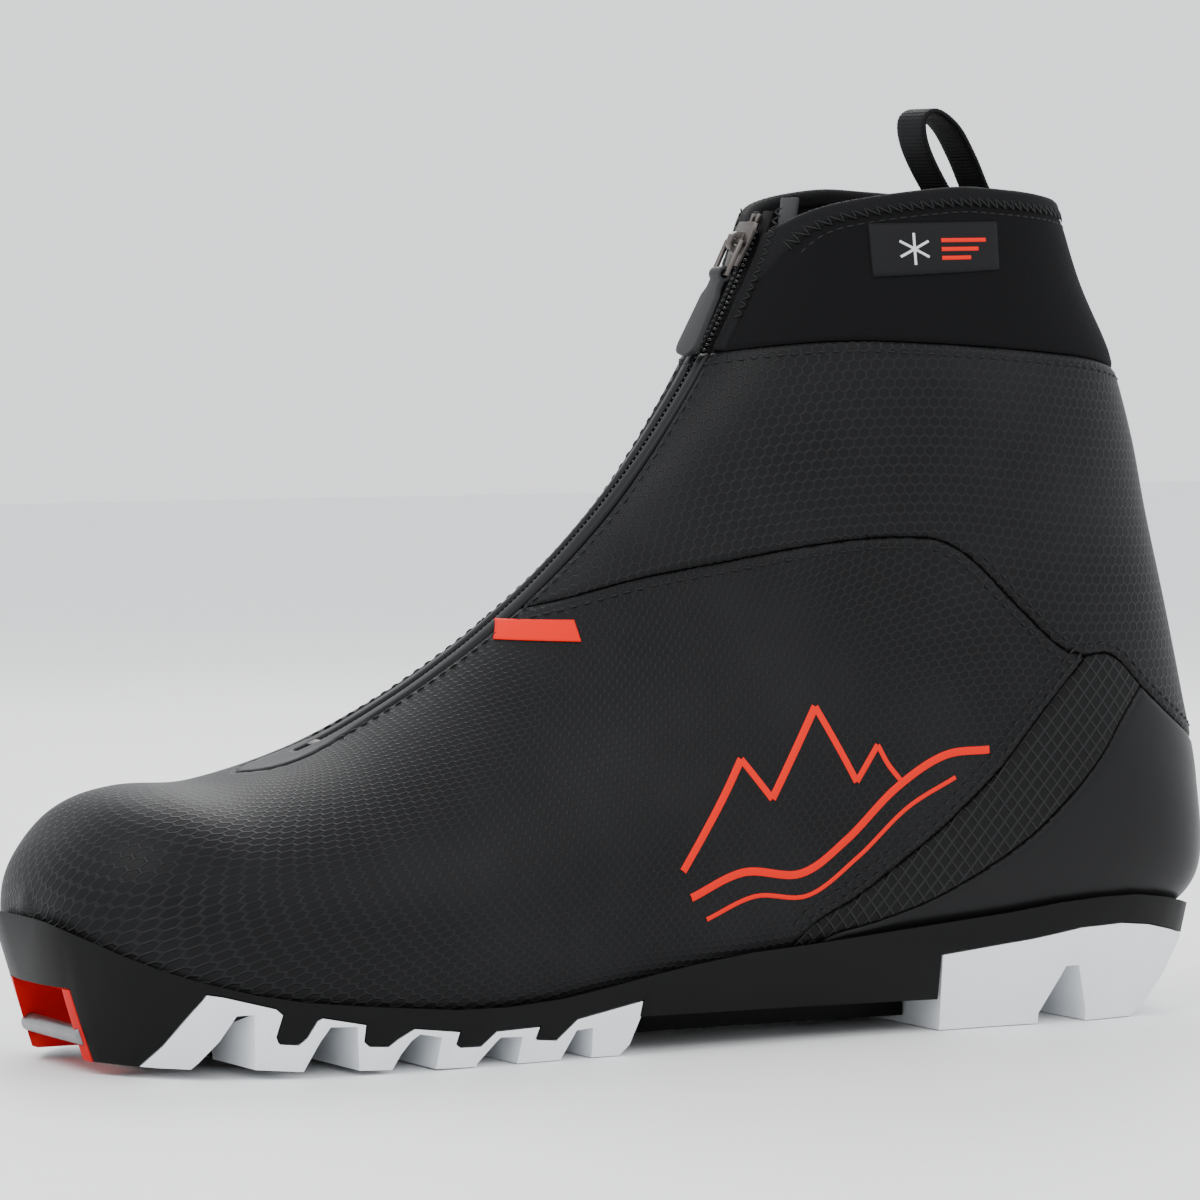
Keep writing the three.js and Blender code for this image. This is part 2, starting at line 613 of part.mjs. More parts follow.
function laces() {
  const first = range(1, -1, 8).map((t) => lacePoint(laceRows[0] - 1.6 - 0.6 * (1 - t * t),
    t * (loopY - 2.5), loopLevel + (laceRest - loopLevel) * Math.cos(Math.PI * t / 2) ** 2));
  const route = new THREE.CatmullRomCurve3([...laceHalf(1).reverse(), ...first, ...laceHalf(-1)]);
  const section = roundPath(THREE.Shape, 0, 0, laceRadius, laceSides);
  add('lace', new THREE.ExtrudeGeometry(section, { steps: 104, extrudePath: route, bevelEnabled: false }), 'lace');
  let number = 1;
  laceRows.forEach((row) => {
    [-1, 1].forEach((side) => {
      add(`lace_loop_${number}`, laceLoop(row, side), 'webbing');
      number += 1;
    });
  });
  laceLock();
}

// Frame on the lace surface: along the arc, across, and out of the boot.
function laceFrame(degrees, y, level) {
  const origin = lacePoint(degrees, y, level);
  const along = lacePoint(degrees + 0.5, y, level).sub(lacePoint(degrees - 0.5, y, level)).normalize();
  const out = lacePoint(degrees, y, level + 1).sub(origin).normalize();
  const across = out.clone().cross(along).normalize();
  return new THREE.Matrix4().makeBasis(along, across, along.clone().cross(across)).setPosition(origin);
}

// Webbing ring around the lace, with a flat tail that is sewn to the eyestay.
function laceLoop(degrees, side) {
  const inner = laceRadius + loopPlay;
  const outer = inner + loopWeb;
  const tail = 6.5;
  const shape = new THREE.Shape();
  shape.absarc(0, 0, outer, Math.PI / 2, -Math.PI / 2, false);
  shape.lineTo(tail, -outer);
  shape.lineTo(tail, -outer + loopWeb);
  shape.lineTo(outer * 1.15, -outer + loopWeb);
  shape.lineTo(outer, outer * 0.1);
  shape.lineTo(outer * 0.72, outer * 0.72);
  shape.holes.push(roundPath(THREE.Path, 0, 0, inner, 10));
  const geometry = new THREE.ExtrudeGeometry(shape, { depth: loopLong, bevelEnabled: false, curveSegments: 8 });
  geometry.translate(0, 0, -loopLong / 2);
  const profile = new THREE.Matrix4().makeBasis(
    new THREE.Vector3(0, side, 0), new THREE.Vector3(0, 0, 1), new THREE.Vector3(side, 0, 0),
  );
  return geometry.applyMatrix4(profile).applyMatrix4(laceFrame(degrees, side * loopY, loopLevel));
}

function laceLock() {
  const frame = laceFrame(lockPlace, 0, lockLevel);
  const half = buttonSize / 2;
  const body = solidFrom(box(-lockLong / 2, lockLong / 2, -lockWide / 2, lockWide / 2, -lockTall / 2, lockTall / 2));
  const room = half + gap;
  const pocketEnd = laceHole + laceRadius + buttonStroke + 1.8;
  const pocket = solidFrom(box(-room, room, -lockWide, pocketEnd, -room, room));
  const laceWay = laceHole + laceRadius + 0.35;
  const laceRoomZ = laceRadius + 0.35;
  const way = solidFrom(box(-lockLong, lockLong, -laceWay, laceWay, -laceRoomZ, laceRoomZ));
  add('lace_lock_body', geometryFrom(body.subtract(pocket).subtract(way)).applyMatrix4(frame), 'plastic');
  const button = solidFrom(box(-half, half, -lockWide / 2 - buttonOut, pocketEnd - buttonStroke - gap, -half, half));
  const window = solidFrom(box(-half * 2, half * 2, -laceWay - buttonStroke, laceWay, -laceRoomZ + 0.1, laceRoomZ - 0.1));
  add('lace_lock_button', geometryFrom(button.subtract(window)).applyMatrix4(frame), 'red');
}

// ---------------------------------------------------------------- zip
const sliderPlace = 66.4;      // degrees on the arc, closed
const tapeTop = -skinThick - gap;
const coilTop = tapeTop + gap + coilThick;

function zipStrip(fromDegrees, toDegrees, steps, ys, outer, inner) {
  const rows = range(fromDegrees, toDegrees, steps).map(sectionOfArc);
  return strip(rows, ys, outer, inner);
}

function zipTrack() {
  [-1, 1].forEach((side) => {
    const name = side < 0 ? 'lateral' : 'medial';
    const tapeWide = (u) => {
      const narrow = u > sectionOfArc(collarFoot - 3.5);
      const wide = narrow ? collarSlotHalf - gap - 0.1 : 9;
      return range(side * coilInner, side * wide, 2).sort((a, b) => a - b);
    };
    const tape = zipStrip(zipFoot + 0.4, zipHead, 22, tapeWide, tapeTop, tapeTop - tapeThick);
    add(`zip_tape_${name}`, tape, 'webbing');
    const ends = [side * coilInner, side * coilOuter].sort((a, b) => a - b);
    add(`zip_coil_${name}`, zipStrip(zipFoot + 1.15, zipHead - 1, 22, () => ends, coilTop, tapeTop + gap), 'plastic');
    add(`zip_top_stop_${name}`, zipStrip(zipHead - 0.85, zipHead - 0.3, 1, () => ends, coilTop + 0.2, tapeTop + gap),
      'gunmetal');
  });
  const stop = zipStrip(zipFoot + 0.45, zipFoot + 1.05, 1, () => [-coilOuter, coilOuter], coilTop + 0.2,
    tapeTop + gap);
  add('zip_bottom_stop', stop, 'gunmetal');
}

// Frame of the slider: X up the zip, Y across, Z out of the boot.
function zipFrame(degrees) {
  const t = THREE.MathUtils.degToRad(degrees);
  const along = new THREE.Vector3(Math.cos(t) * alongX, 0, Math.sin(t) * upZ).normalize();
  const out = new THREE.Vector3(-along.z, 0, along.x);
  const [x, z] = arcPoint(degrees);
  return new THREE.Matrix4().makeBasis(along, new THREE.Vector3(0, 1, 0), out)
    .setPosition(x * alongX, 0, z * upZ);
}

const pivotOut = sliderClear + sliderPlate + 1.2;   // puller pivot above the cover

function slider() {
  const frame = zipFrame(sliderPlace);
  const half = sliderLong / 2;
  const topLow = sliderClear;
  const topHigh = topLow + sliderPlate;
  const lowHigh = tapeTop - tapeThick - sliderUnder;
  const lowLow = lowHigh - sliderPlate;
  const plate = new THREE.Shape();
  plate.moveTo(-half, -sliderHalf * 0.62);
  plate.lineTo(half * 0.4, -sliderHalf);
  plate.lineTo(half, -sliderHalf * 0.86);
  plate.lineTo(half, sliderHalf * 0.86);
  plate.lineTo(half * 0.4, sliderHalf);
  plate.lineTo(-half, sliderHalf * 0.62);
  const plateGeometry = (z) => new THREE.ExtrudeGeometry(plate, { depth: sliderPlate, bevelEnabled: false })
    .translate(0, 0, z);
  const web = solidFrom(box(half * 0.2, half - 0.6, -webHalf, webHalf, lowLow + 0.2, topHigh - 0.2));
  const bail = new THREE.Shape();
  bail.moveTo(-3, topHigh - 0.2);
  bail.lineTo(-2.2, pivotOut + 0.7);
  bail.lineTo(-1.2, pivotOut + 1.6);
  bail.lineTo(1.2, pivotOut + 1.6);
  bail.lineTo(2.2, pivotOut + 0.7);
  bail.lineTo(3, topHigh - 0.2);
  bail.holes.push(roundPath(THREE.Path, 0, pivotOut, linkWire * 0.71 + 0.2, 12));
  const bailGeometry = new THREE.ExtrudeGeometry(bail, { depth: 1.8, bevelEnabled: false });
  bailGeometry.rotateX(Math.PI / 2).translate(0, 0.9, 0);
  const body = solidFrom(plateGeometry(topLow)).add(solidFrom(plateGeometry(lowLow))).add(web)
    .add(solidFrom(bailGeometry));
  add('zip_slider', geometryFrom(body).applyMatrix4(frame), 'gunmetal');
}

// Link and tab hang from the bail; here X runs down the zip from the pivot.
function puller() {
  const frame = zipFrame(sliderPlace);
  const hang = new THREE.Matrix4().makeTranslation(0, 0, pivotOut)
    .multiply(new THREE.Matrix4().makeRotationY(Math.PI + THREE.MathUtils.degToRad(pullerTilt)));
  const half = linkWire / 2;
  const outline = (grow, hole) => {
    const path = hole ? new THREE.Path() : new THREE.Shape();
    path.moveTo(-grow, -linkHalf + half - grow);
    path.lineTo(linkLong + grow, -linkHalf + half - grow);
    path.lineTo(linkLong + grow, linkHalf - half + grow);
    path.lineTo(-grow, linkHalf - half + grow);
    path.closePath();
    return path;
  };
  const ringShape = outline(half, false);
  ringShape.holes.push(outline(-half, true));
  const link = new THREE.ExtrudeGeometry(ringShape, { depth: linkWire, bevelEnabled: false }).translate(0, 0, -half);
  add('zip_pull_link', link.applyMatrix4(hang).applyMatrix4(frame), 'gunmetal');

  const neck = linkHalf - linkWire - 0.4;
  const blade = new THREE.Shape();
  blade.moveTo(linkLong + 1.2, -neck);
  blade.lineTo(linkLong + 3.5, -neck);
  blade.lineTo(linkLong + 5.5, -tabHalf * 0.8);
  blade.lineTo(tabLong - 3, -tabHalf);
  blade.quadraticCurveTo(tabLong, -tabHalf, tabLong, -tabHalf + 3);
  blade.lineTo(tabLong, tabHalf - 3);
  blade.quadraticCurveTo(tabLong, tabHalf, tabLong - 3, tabHalf);
  blade.lineTo(linkLong + 5.5, tabHalf * 0.8);
  blade.lineTo(linkLong + 3.5, neck);
  blade.lineTo(linkLong + 1.2, neck);
  const bladeSolid = solidFrom(new THREE.ExtrudeGeometry(blade, { depth: tabThick, bevelEnabled: false, curveSegments: 4 })
    .translate(0, 0, -tabThick / 2));
  const eyeHole = linkWire * 0.71 + 0.25;
  const eye = new THREE.CylinderGeometry(eyeHole + 0.8, eyeHole + 0.8, 2 * neck, 16).translate(linkLong, 0, 0);
  const bore = new THREE.CylinderGeometry(eyeHole, eyeHole, 4 * neck, 12).translate(linkLong, 0, 0);
  const tab = bladeSolid.add(solidFrom(eye)).subtract(solidFrom(bore));
  add('zip_pull_tab', geometryFrom(tab).applyMatrix4(hang).applyMatrix4(frame), 'pull');
}

// ---------------------------------------------------------------- heel pull loop
function pullLoop() {
  const wall = collarThick + 1.4 + loopBandThick / 2;
  const backAt = (z) => {
    const [u] = locate(262, z);
    return formPoint(u, Math.PI).x / alongX - wall / alongX;
  };
  const centre = [[backAt(172) - 0.2, 171], [backAt(177), 177], [252, 184.5], [247, 191], [243, 199],
    [238.5, 206], [233, 209.6], [229.5, 207.5], [230.5, 201], [236, 191.5], [242, 185], [248, 180.5],
    [backAt(175) - 5.5, 177], [backAt(171) - 2.2, 171]];
  const line = smooth(centre, 40);
  const outline = thickened(line, loopBandThick / 2);
  add('pull_loop', geometryFrom(sidePrism(outline, -loopBand / 2, loopBand / 2)), 'webbing');
}

// ---------------------------------------------------------------- sole
// Height of the sole's upper edge along the boot, and where its foot lies at floor level.
const featherLine = [[4.6, 33.6], [5.4, 33.1], [6.6, 32.2], [8.2, 31.2], [11, 29.6], [15.2, 27.2],
  [22.3, 24], [30, 21.4], [41, 18.5], [52, 16.5], [64, 15.2], [75, 14.2], [88, 13], [101, 12.8], [115, 13.7], [126, 15.3], [139, 17.6], [150, 19.2],
  [165, 20.9], [182, 21.8], [200, 23.4], [221, 25.3], [235, 26.2], [249, 27.9], [260, 28.6], [271, 28.6],
  [281, 27.2], [287, 25.9], [291, 24.9], [294, 24.1], [295.4, 23.7]];

// The sole narrows towards the floor around the toe and behind the heel.
function soleFoot(x) {
  const toe = 1 - THREE.MathUtils.smoothstep(x, 5, 60);
  const heel = THREE.MathUtils.smoothstep(x, 262, 301);
  return { shift: 7 * toe ** 3 - 2 * heel, inset: soleDraft + 6.5 * toe + 5 * heel };
}

function soleEnvelope() {
  const columns = [-1, -0.6, -0.2, 0.2, 0.6, 1];
  const rowsAt = (x, z) => {
    const tip = 1 - THREE.MathUtils.smoothstep(x, 4.6, 11);
    const toe = 1 - THREE.MathUtils.smoothstep(x, 8, 40);
    const heel = THREE.MathUtils.smoothstep(x, 258, 290);
    const [u, angle] = locate(x + 1.5 * tip + 0.9 * toe, z + 3 * heel);
    const wall = soleWall - 0.6 * toe - 0.9 * heel;
    return [-formPoint(u, -angle).y, formPoint(u, angle).y].map((half) => half + wall);
  };
  const grid = (atFloor) => featherLine.map(([x, z]) => {
    const [lateral, medial] = rowsAt(x, z);
    const { shift, inset } = soleFoot(x);
    return columns.map((c) => {
      const half = (c < 0 ? lateral : medial) - (atFloor ? inset : 0);
      const px = x * alongX + (atFloor ? shift : 0);
      return new THREE.Vector3(px, c * half, atFloor ? -0.5 : z * upZ);
    });
  });
  return solidFrom(slab(grid(false), grid(true)));
}

// Underside of the black sole in side view.
const soleUnder = [[-5, 4.5], [9.5, 4.5], [14.5, 2.7], [21.6, 2.4], [27, 12], [31, 19], [34.6, 18.4],
  [45.5, 15.6], [47.4, 14], [46.4, 9.2], [47, 7.8], [51, 7.5], [52.6, 8.9], [54.7, 12.6], [56, 13.2],
  [66.3, 11.2], [66.1, 7.3], [67.2, 6.4], [71.8, 6.1], [74, 7.7], [77.8, 9.7], [89.4, 8.3], [88.6, 5.4],
  [89.6, 4.8], [94.8, 4.7], [98.5, 7.8], [110, 8.1], [109, 5.2], [114.3, 4.7], [119.5, 9.1], [136.6, 12.2],
  [136, 8.4], [160, 8], [216.3, 7.2], [216.8, 17.6], [241.5, 20], [255, 22], [266.4, 22.4], [275, 21.5],
  [283.6, 19.6], [292.6, 17.3], [310, 15]];
// Notches between the forefoot lugs.
const lugNotches = [
  [[30, -2], [30, 2.2], [34.8, 8.4], [37.6, 14], [41, 14.2], [42.3, 2.1], [42.3, -2]],
  [[52.4, -2], [52.4, 1.4], [55.8, 7.9], [57.9, 10.9], [64, 10.7], [65.2, 1], [65.2, -2]],
  [[73, -2], [73, 0.7], [74.9, 4.1], [77.2, 6.9], [79.2, 8.2], [84.7, 7.2], [83.8, 0.2], [83.8, -2]],
  [[94.1, -2], [94.1, 0.7], [98.6, 5.3], [99.7, 6.2], [105.3, 5.9], [104.2, -2]],
  [[115.9, -2], [115.9, 0.4], [119.4, 6.4], [123.6, 6.7], [123.9, -2]],
];
const heelNotch = [[244, -2], [244, 2.4], [251, 13], [254.5, 13], [257, 2.4], [257, -2]];
const treadReach = 19;         // the forefoot treads' inner edge, from the centre line
const lugEnds = [[30, 2.2], [42, 2.1], [52, 1.4], [65, 1], [73, 0.7], [84, 0.2], [94, 0], [131, 0], [133.5, 2.3]];

function keepAbove(line, far) {
  return [...line, [far, line[line.length - 1][1]], [far, 80], [-30, 80], [-30, line[0][1]]];
}

function sole() {
  const envelope = soleEnvelope();
  const upperRoom = formSolid(soleClear);
  const treadRoom = formSolid(soleClear + treadCover + gap);
  const above = sidePrism(keepAbove(soleUnder, 330));
  const slotX = slotDeep * alongX;
  const guard = cassetteWall + gap;
  const slotSpace = solidFrom(box(-20, slotX + guard, -slotHalf - guard, slotHalf + guard, -5, slotTop + gap));
  const grooves = [-1, 1].map((side) => solidFrom(box(slotX + guard + 2, 215 * alongX,
    side * grooveY - grooveHalf, side * grooveY + grooveHalf, -5, grooveDeep)));

  // The forefoot treads are two side bars; between them the black sole comes down to the floor.
  const zigzag = soleUnder.slice(3, 32);
  const lugSide = [...zigzag, ...lugEnds.slice().reverse()];
  const lugs = lugNotches.reduce((solid, notch) => solid.subtract(sidePrism(notch)),
    sidePrism(lugSide));
  const shifts = [[gap, 0, 0], [-gap, 0, 0], [0, 0, -gap]];
  const clear = (solid) => shifts.reduce((rest, shift) => rest.subtract(above.translate(shift)), solid);
  const barsZone = (side) => solidFrom(box(-10, 330 * alongX, side < 0 ? -80 : treadReach, side < 0 ? -treadReach : 80,
    -5, 60));
  const bars = [-1, 1].map((side) => clear(lugs).intersect(barsZone(side)).intersect(envelope).subtract(treadRoom));
  add('forefoot_tread_lateral', geometryFrom(bodies(bars[0])[0]), 'tread');
  add('forefoot_tread_medial', geometryFrom(bodies(bars[1])[0]), 'tread');

  const heelSide = [[217.2, 0], [217.2, 17.3], [241.5, 19.7], [255, 21.7], [266.4, 22.1], [275, 21.2],
    [283.6, 19.3], [290.6, 17.4], [283.4, 9.6], [275.5, 2.2], [270.8, 0]];
  const heel = sidePrism(heelSide).subtract(sidePrism(heelNotch)).intersect(envelope).subtract(treadRoom);
  add('heel_tread', geometryFrom(bodies(heel)[0]), 'tread');

  // Middle of the forefoot and waist, between the two side bars.
  const keelUnder = [[slotDeep + 5, 3.4], [40, 2.6], [60, 1.8], [84, 1], [131, 1], [150, 2], [216.4, 2]];
  const keelSide = [...keelUnder, [216.4, 12], [136, 12.5], [60, 13], [slotDeep + 5, 18]];
  const keelHalf = treadReach - gap;
  const keel = sidePrism(keelSide, -keelHalf, keelHalf);
  const bodySide = above.add(keel).add(formSolid(soleClear + treadCover));
  const body = [...grooves, upperRoom, slotSpace].reduce((solid, tool) => solid.subtract(tool),
    envelope.intersect(bodySide));
  const shankLine = [[95, 5.2], [120, 6.3], [150, 8.6], [185, 12.4], [212, 14.4]];
  const shank = sidePrism(thickened(smooth(shankLine, 14), 0.8), -16, 16);
  const shankRoom = sidePrism([...smooth(shankLine, 14).map(([x, z]) => [x, z - 0.8 - gap]), [213, 14],
    [213, 40], [94, 40], [94, 4.2]], -16 - gap, 16 + gap);
  add('outsole', geometryFrom(bodies(body.subtract(shankRoom))[0]), 'rubber');
  add('shank', geometryFrom(shank), 'carbon');
  binding(envelope, upperRoom);
}

function binding(envelope, upperRoom) {
  const slotX = slotDeep * alongX;
  const outer = solidFrom(box(-20, slotX + cassetteWall, -slotHalf - cassetteWall, slotHalf + cassetteWall, -5,
    slotTop));
  const inner = solidFrom(box(-30, slotX, -slotHalf, slotHalf, -10, slotTop + 5))
    .subtract(formSolid(soleClear + cassetteRoof));
  const under = sidePrism(keepAbove([[-5, 4.7], [9.5, 4.7], [15, 2.6], [30, 2.6]], 330));
  const barHole = new THREE.CylinderGeometry(barRadius + 0.1, barRadius + 0.1, 2 * (slotHalf + cassetteWall - 0.7), 20);
  const hole = solidFrom(barHole.translate(barX * alongX, 0, barZ));
  const shell = envelope.intersect(outer).intersect(under).subtract(inner).subtract(hole).subtract(upperRoom);
  add('toe_cassette', geometryFrom(bodies(shell)[0]), 'red');
  const bar = new THREE.CylinderGeometry(barRadius, barRadius, 2 * (slotHalf + cassetteWall - 0.9), 20);
  add('toe_bar', bar.translate(barX * alongX, 0, barZ), 'steel');
}

// ---------------------------------------------------------------- assembly
outerPanels();
collar();
trim();
innerBoot();
laces();
zipTrack();
slider();
puller();
pullLoop();
sole();

// The origin is the middle of the footprint, on the floor.
const bounds = new THREE.Box3().setFromObject(boot);
const middle = bounds.getCenter(new THREE.Vector3());
boot.position.set(-middle.x, -middle.y, -bounds.min.z);
boot.updateMatrixWorld(true);

export default boot;
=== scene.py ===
import math
import bpy
import bmesh
import numpy as np
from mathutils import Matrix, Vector


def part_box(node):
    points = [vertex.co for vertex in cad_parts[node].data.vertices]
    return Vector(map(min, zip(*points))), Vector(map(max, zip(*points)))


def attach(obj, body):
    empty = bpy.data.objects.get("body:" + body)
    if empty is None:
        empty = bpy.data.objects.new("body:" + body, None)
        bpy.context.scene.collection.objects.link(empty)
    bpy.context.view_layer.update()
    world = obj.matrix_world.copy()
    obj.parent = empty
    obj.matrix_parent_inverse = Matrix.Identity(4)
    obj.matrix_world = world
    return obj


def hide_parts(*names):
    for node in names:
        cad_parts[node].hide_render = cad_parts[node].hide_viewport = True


# Looks of a left cross country ski boot: zipped cover, neoprene collar, bar-type sole.
# The form is worked out in millimetres from the toe (x = 0) and moved into the frame by toFrame.
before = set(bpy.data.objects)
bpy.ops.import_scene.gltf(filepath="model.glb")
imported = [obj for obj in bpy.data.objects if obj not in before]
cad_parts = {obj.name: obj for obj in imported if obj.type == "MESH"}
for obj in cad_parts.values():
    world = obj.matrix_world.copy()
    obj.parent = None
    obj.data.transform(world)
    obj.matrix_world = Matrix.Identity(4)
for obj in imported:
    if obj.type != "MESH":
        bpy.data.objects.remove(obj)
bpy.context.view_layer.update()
bpy.ops.object.select_all(action='DESELECT')

soleFront = 4.6        # x of the sole's foremost point, from the toe's zero
loopLow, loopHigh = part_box("pull_loop")
soleLow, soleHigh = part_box("outsole")
offset = np.array([soleLow[0] * 1000 - soleFront, (loopLow[1] + loopHigh[1]) * 500, 0.0])


def toFrame(points):
    return (np.asarray(points, float) + offset) / 1000


def smoothstep(v, low, high):
    t = np.clip((np.asarray(v, float) - low) / (high - low), 0, 1)
    return t * t * (3 - 2 * t)


# form of the upper
arc = dict(x=-10.1, z=263.5, radius=212.7)     # instep and zip follow this arc


def arcPoint(degrees, out=0.0):
    t = np.radians(degrees)
    r = arc["radius"] - out
    return np.stack([arc["x"] + r * np.sin(t), arc["z"] - r * np.cos(t)], -1)


def arcSection(degrees, back, *rest):
    return (*arcPoint(degrees), *back, *rest)


# front or top point, back or bottom point, half widths, widest place, squareness of both halves
sections = np.array([
    (6.4, 38.5, 6.4, 31, 3, 3, 0.5, 2, 2),
    (8.2, 44.2, 8.4, 25.5, 16, 17, 0.55, 2.2, 2.6),
    (12.2, 50.1, 11.8, 20.5, 25, 26, 0.6, 2.3, 3.4),
    (20.5, 57.4, 19.5, 17, 34, 34, 0.62, 2.3, 4.4),
    (32, 60.6, 32, 13.2, 40.5, 40, 0.62, 2.3, 5.4),
    (50, 61.2, 50, 10.6, 45, 43.5, 0.62, 2.2, 6),
    arcSection(23, (74, 8.6), 46.5, 45, 0.63, 2, 6.4),
    arcSection(29, (100, 7.8), 45.5, 44, 0.66, 1.85, 6.4),
    arcSection(34.6, (140, 10.4), 42, 40, 0.66, 1.8, 5.6),
    arcSection(39.4, (185, 15.4), 39, 37, 0.64, 1.8, 4.8),
    arcSection(43.2, (235, 18.6), 38, 36.5, 0.62, 1.8, 4.2),
    arcSection(46.6, (278, 19.8), 37.5, 36.5, 0.6, 1.85, 3.6),
    arcSection(49.3, (298.6, 28.5), 37.5, 36.5, 0.58, 1.9, 3),
    arcSection(51.8, (301.2, 51), 38, 37, 0.55, 1.95, 2.5),
    arcSection(54.1, (297.7, 72), 38.5, 37.5, 0.53, 2, 2.3),
    arcSection(56.2, (292.2, 94), 39, 38, 0.52, 2, 2.3),
    arcSection(58, (286.8, 115), 38.5, 37.5, 0.52, 2, 2.3),
    arcSection(59.8, (282.6, 134), 37.5, 36.5, 0.52, 2, 2.3),
    arcSection(62, (276.5, 153), 36, 35.5, 0.52, 2, 2.3),
    arcSection(66.5, (268, 171), 34, 33.5, 0.52, 2, 2.2),
    arcSection(74, (259.5, 195), 31.5, 31.5, 0.52, 2, 2.2),
], float)
lastSection = len(sections) - 1
sectionRows = np.vstack([2 * sections[0] - sections[1], sections, 2 * sections[-1] - sections[-2]])


# Catmull-Rom curve from b to c at the share w
def curveThrough(a, b, c, d, w):
    bend = (2 * a - 5 * b + 4 * c - d) * w ** 2
    return 0.5 * (2 * b + (c - a) * w + bend + (3 * b - a - 3 * c + d) * w ** 3)


def sectionAt(u):
    t = np.clip(np.asarray(u, float), 0, 1) * lastSection
    i = np.minimum(t.astype(int), lastSection - 1)
    w = (t - i)[..., None]
    a, b, c, d = (sectionRows[i + k] for k in range(4))
    return curveThrough(a, b, c, d, w)


def formPoint(u, angle, drop=0.0):
    fx, fz, bx, bz, lateral, medial, widest, topPower, lowPower = np.moveaxis(sectionAt(u), -1, 0)
    turned = (np.asarray(angle, float) + np.pi) % (2 * np.pi) - np.pi
    upper = np.abs(turned) <= np.pi / 2
    power = np.where(upper, topPower, lowPower)
    s = np.maximum(np.abs(np.sin(turned)), 1e-9)
    c = np.maximum(np.abs(np.cos(turned)), 1e-9)
    reach = (s ** power + c ** power) ** (-1 / power)
    depth = np.where(upper, widest * (1 - reach * c), widest + (1 - widest) * reach * c)
    share = depth + drop / np.hypot(bx - fx, bz - fz) * np.maximum(1 - depth / widest, 0)
    y = np.where(turned < 0, -lateral, medial) * reach * s
    return np.stack([fx + (bx - fx) * share, y, fz + (bz - fz) * share], -1)


def onForm(u, angle, out=0.0, room=0.0):
    u, angle = np.broadcast_arrays(np.asarray(u, float), np.asarray(angle, float))
    lowered = lambda v: room * smoothstep(v, 0.24, 0.37)
    ahead, behind = np.minimum(u + 0.002, 1), np.maximum(u - 0.002, 0)
    along = formPoint(ahead, angle, lowered(ahead)) - formPoint(behind, angle, lowered(behind))
    around = formPoint(u, angle + 0.01, lowered(u)) - formPoint(u, angle - 0.01, lowered(u))
    normal = np.cross(along, around)
    normal /= np.linalg.norm(normal, axis=-1, keepdims=True)
    return formPoint(u, angle, lowered(u)) + normal * np.asarray(out, float)[..., None]


def angleAt(u, y):
    values = sectionAt(u)
    power = values[..., 7]
    s = np.minimum(np.abs(y) / np.where(np.asarray(y) < 0, values[..., 4], values[..., 5]), 0.999)
    return np.where(np.asarray(y) < 0, -1, 1) * np.arctan2(s, (1 - s ** power) ** (1 / power))


def sectionOfArc(degrees):
    target = arcPoint(np.asarray(degrees, float))[..., 1]
    low, high = np.full_like(target, 5 / lastSection), np.ones_like(target)
    for _ in range(30):
        middle = (low + high) / 2
        below = sectionAt(middle)[..., 1] < target
        low, high = np.where(below, middle, low), np.where(below, high, middle)
    return low


# section and angle of the surface point that a side view shows at (x, z)
def locate(x, z):
    x, z = np.asarray(x, float), np.asarray(z, float)

    def miss(u):
        fx, fz, bx, bz = np.moveaxis(sectionAt(u)[..., :4], -1, 0)
        return (bx - fx) * (z - fz) - (bz - fz) * (x - fx)

    steps = np.linspace(0, 0.99, 100)
    signs = np.stack([miss(np.full_like(x, s)) for s in steps]) > 0
    first = np.argmax(signs[1:] != signs[:-1], axis=0)
    low, high = steps[first], steps[first] + 0.01
    start = miss(low) > 0
    for _ in range(24):
        middle = (low + high) / 2
        same = (miss(middle) > 0) == start
        low, high = np.where(same, middle, low), np.where(same, high, middle)
    fx, fz, bx, bz, _, _, widest, topPower, lowPower = np.moveaxis(sectionAt(low), -1, 0)
    share = ((x - fx) * (bx - fx) + (z - fz) * (bz - fz)) / ((bx - fx) ** 2 + (bz - fz) ** 2)
    upper = share < widest
    power = np.where(upper, topPower, lowPower)
    cosine = np.clip(np.where(upper, 1 - share / widest, (share - widest) / (1 - widest)), 0, 1)
    sine = (1 - cosine ** power) ** (1 / power)
    return low, np.where(upper, np.arctan2(sine, cosine), np.pi - np.arctan2(sine, cosine))


# seam lines in side view
def smoothLine(points, steps):
    p = np.array(points, float)
    rows = np.vstack([2 * p[0] - p[1], p, 2 * p[-1] - p[-2]])
    t = np.linspace(0, len(p) - 1, steps + 1)
    i = np.minimum(t.astype(int), len(p) - 2)
    w = (t - i)[:, None]
    a, b, c, d = (rows[i + k] for k in range(4))
    return curveThrough(a, b, c, d, w)


def shifted(line, distance):
    step = np.gradient(line, axis=0)
    step /= np.linalg.norm(step, axis=1, keepdims=True)
    return line + distance * np.stack([-step[:, 1], step[:, 0]], 1)


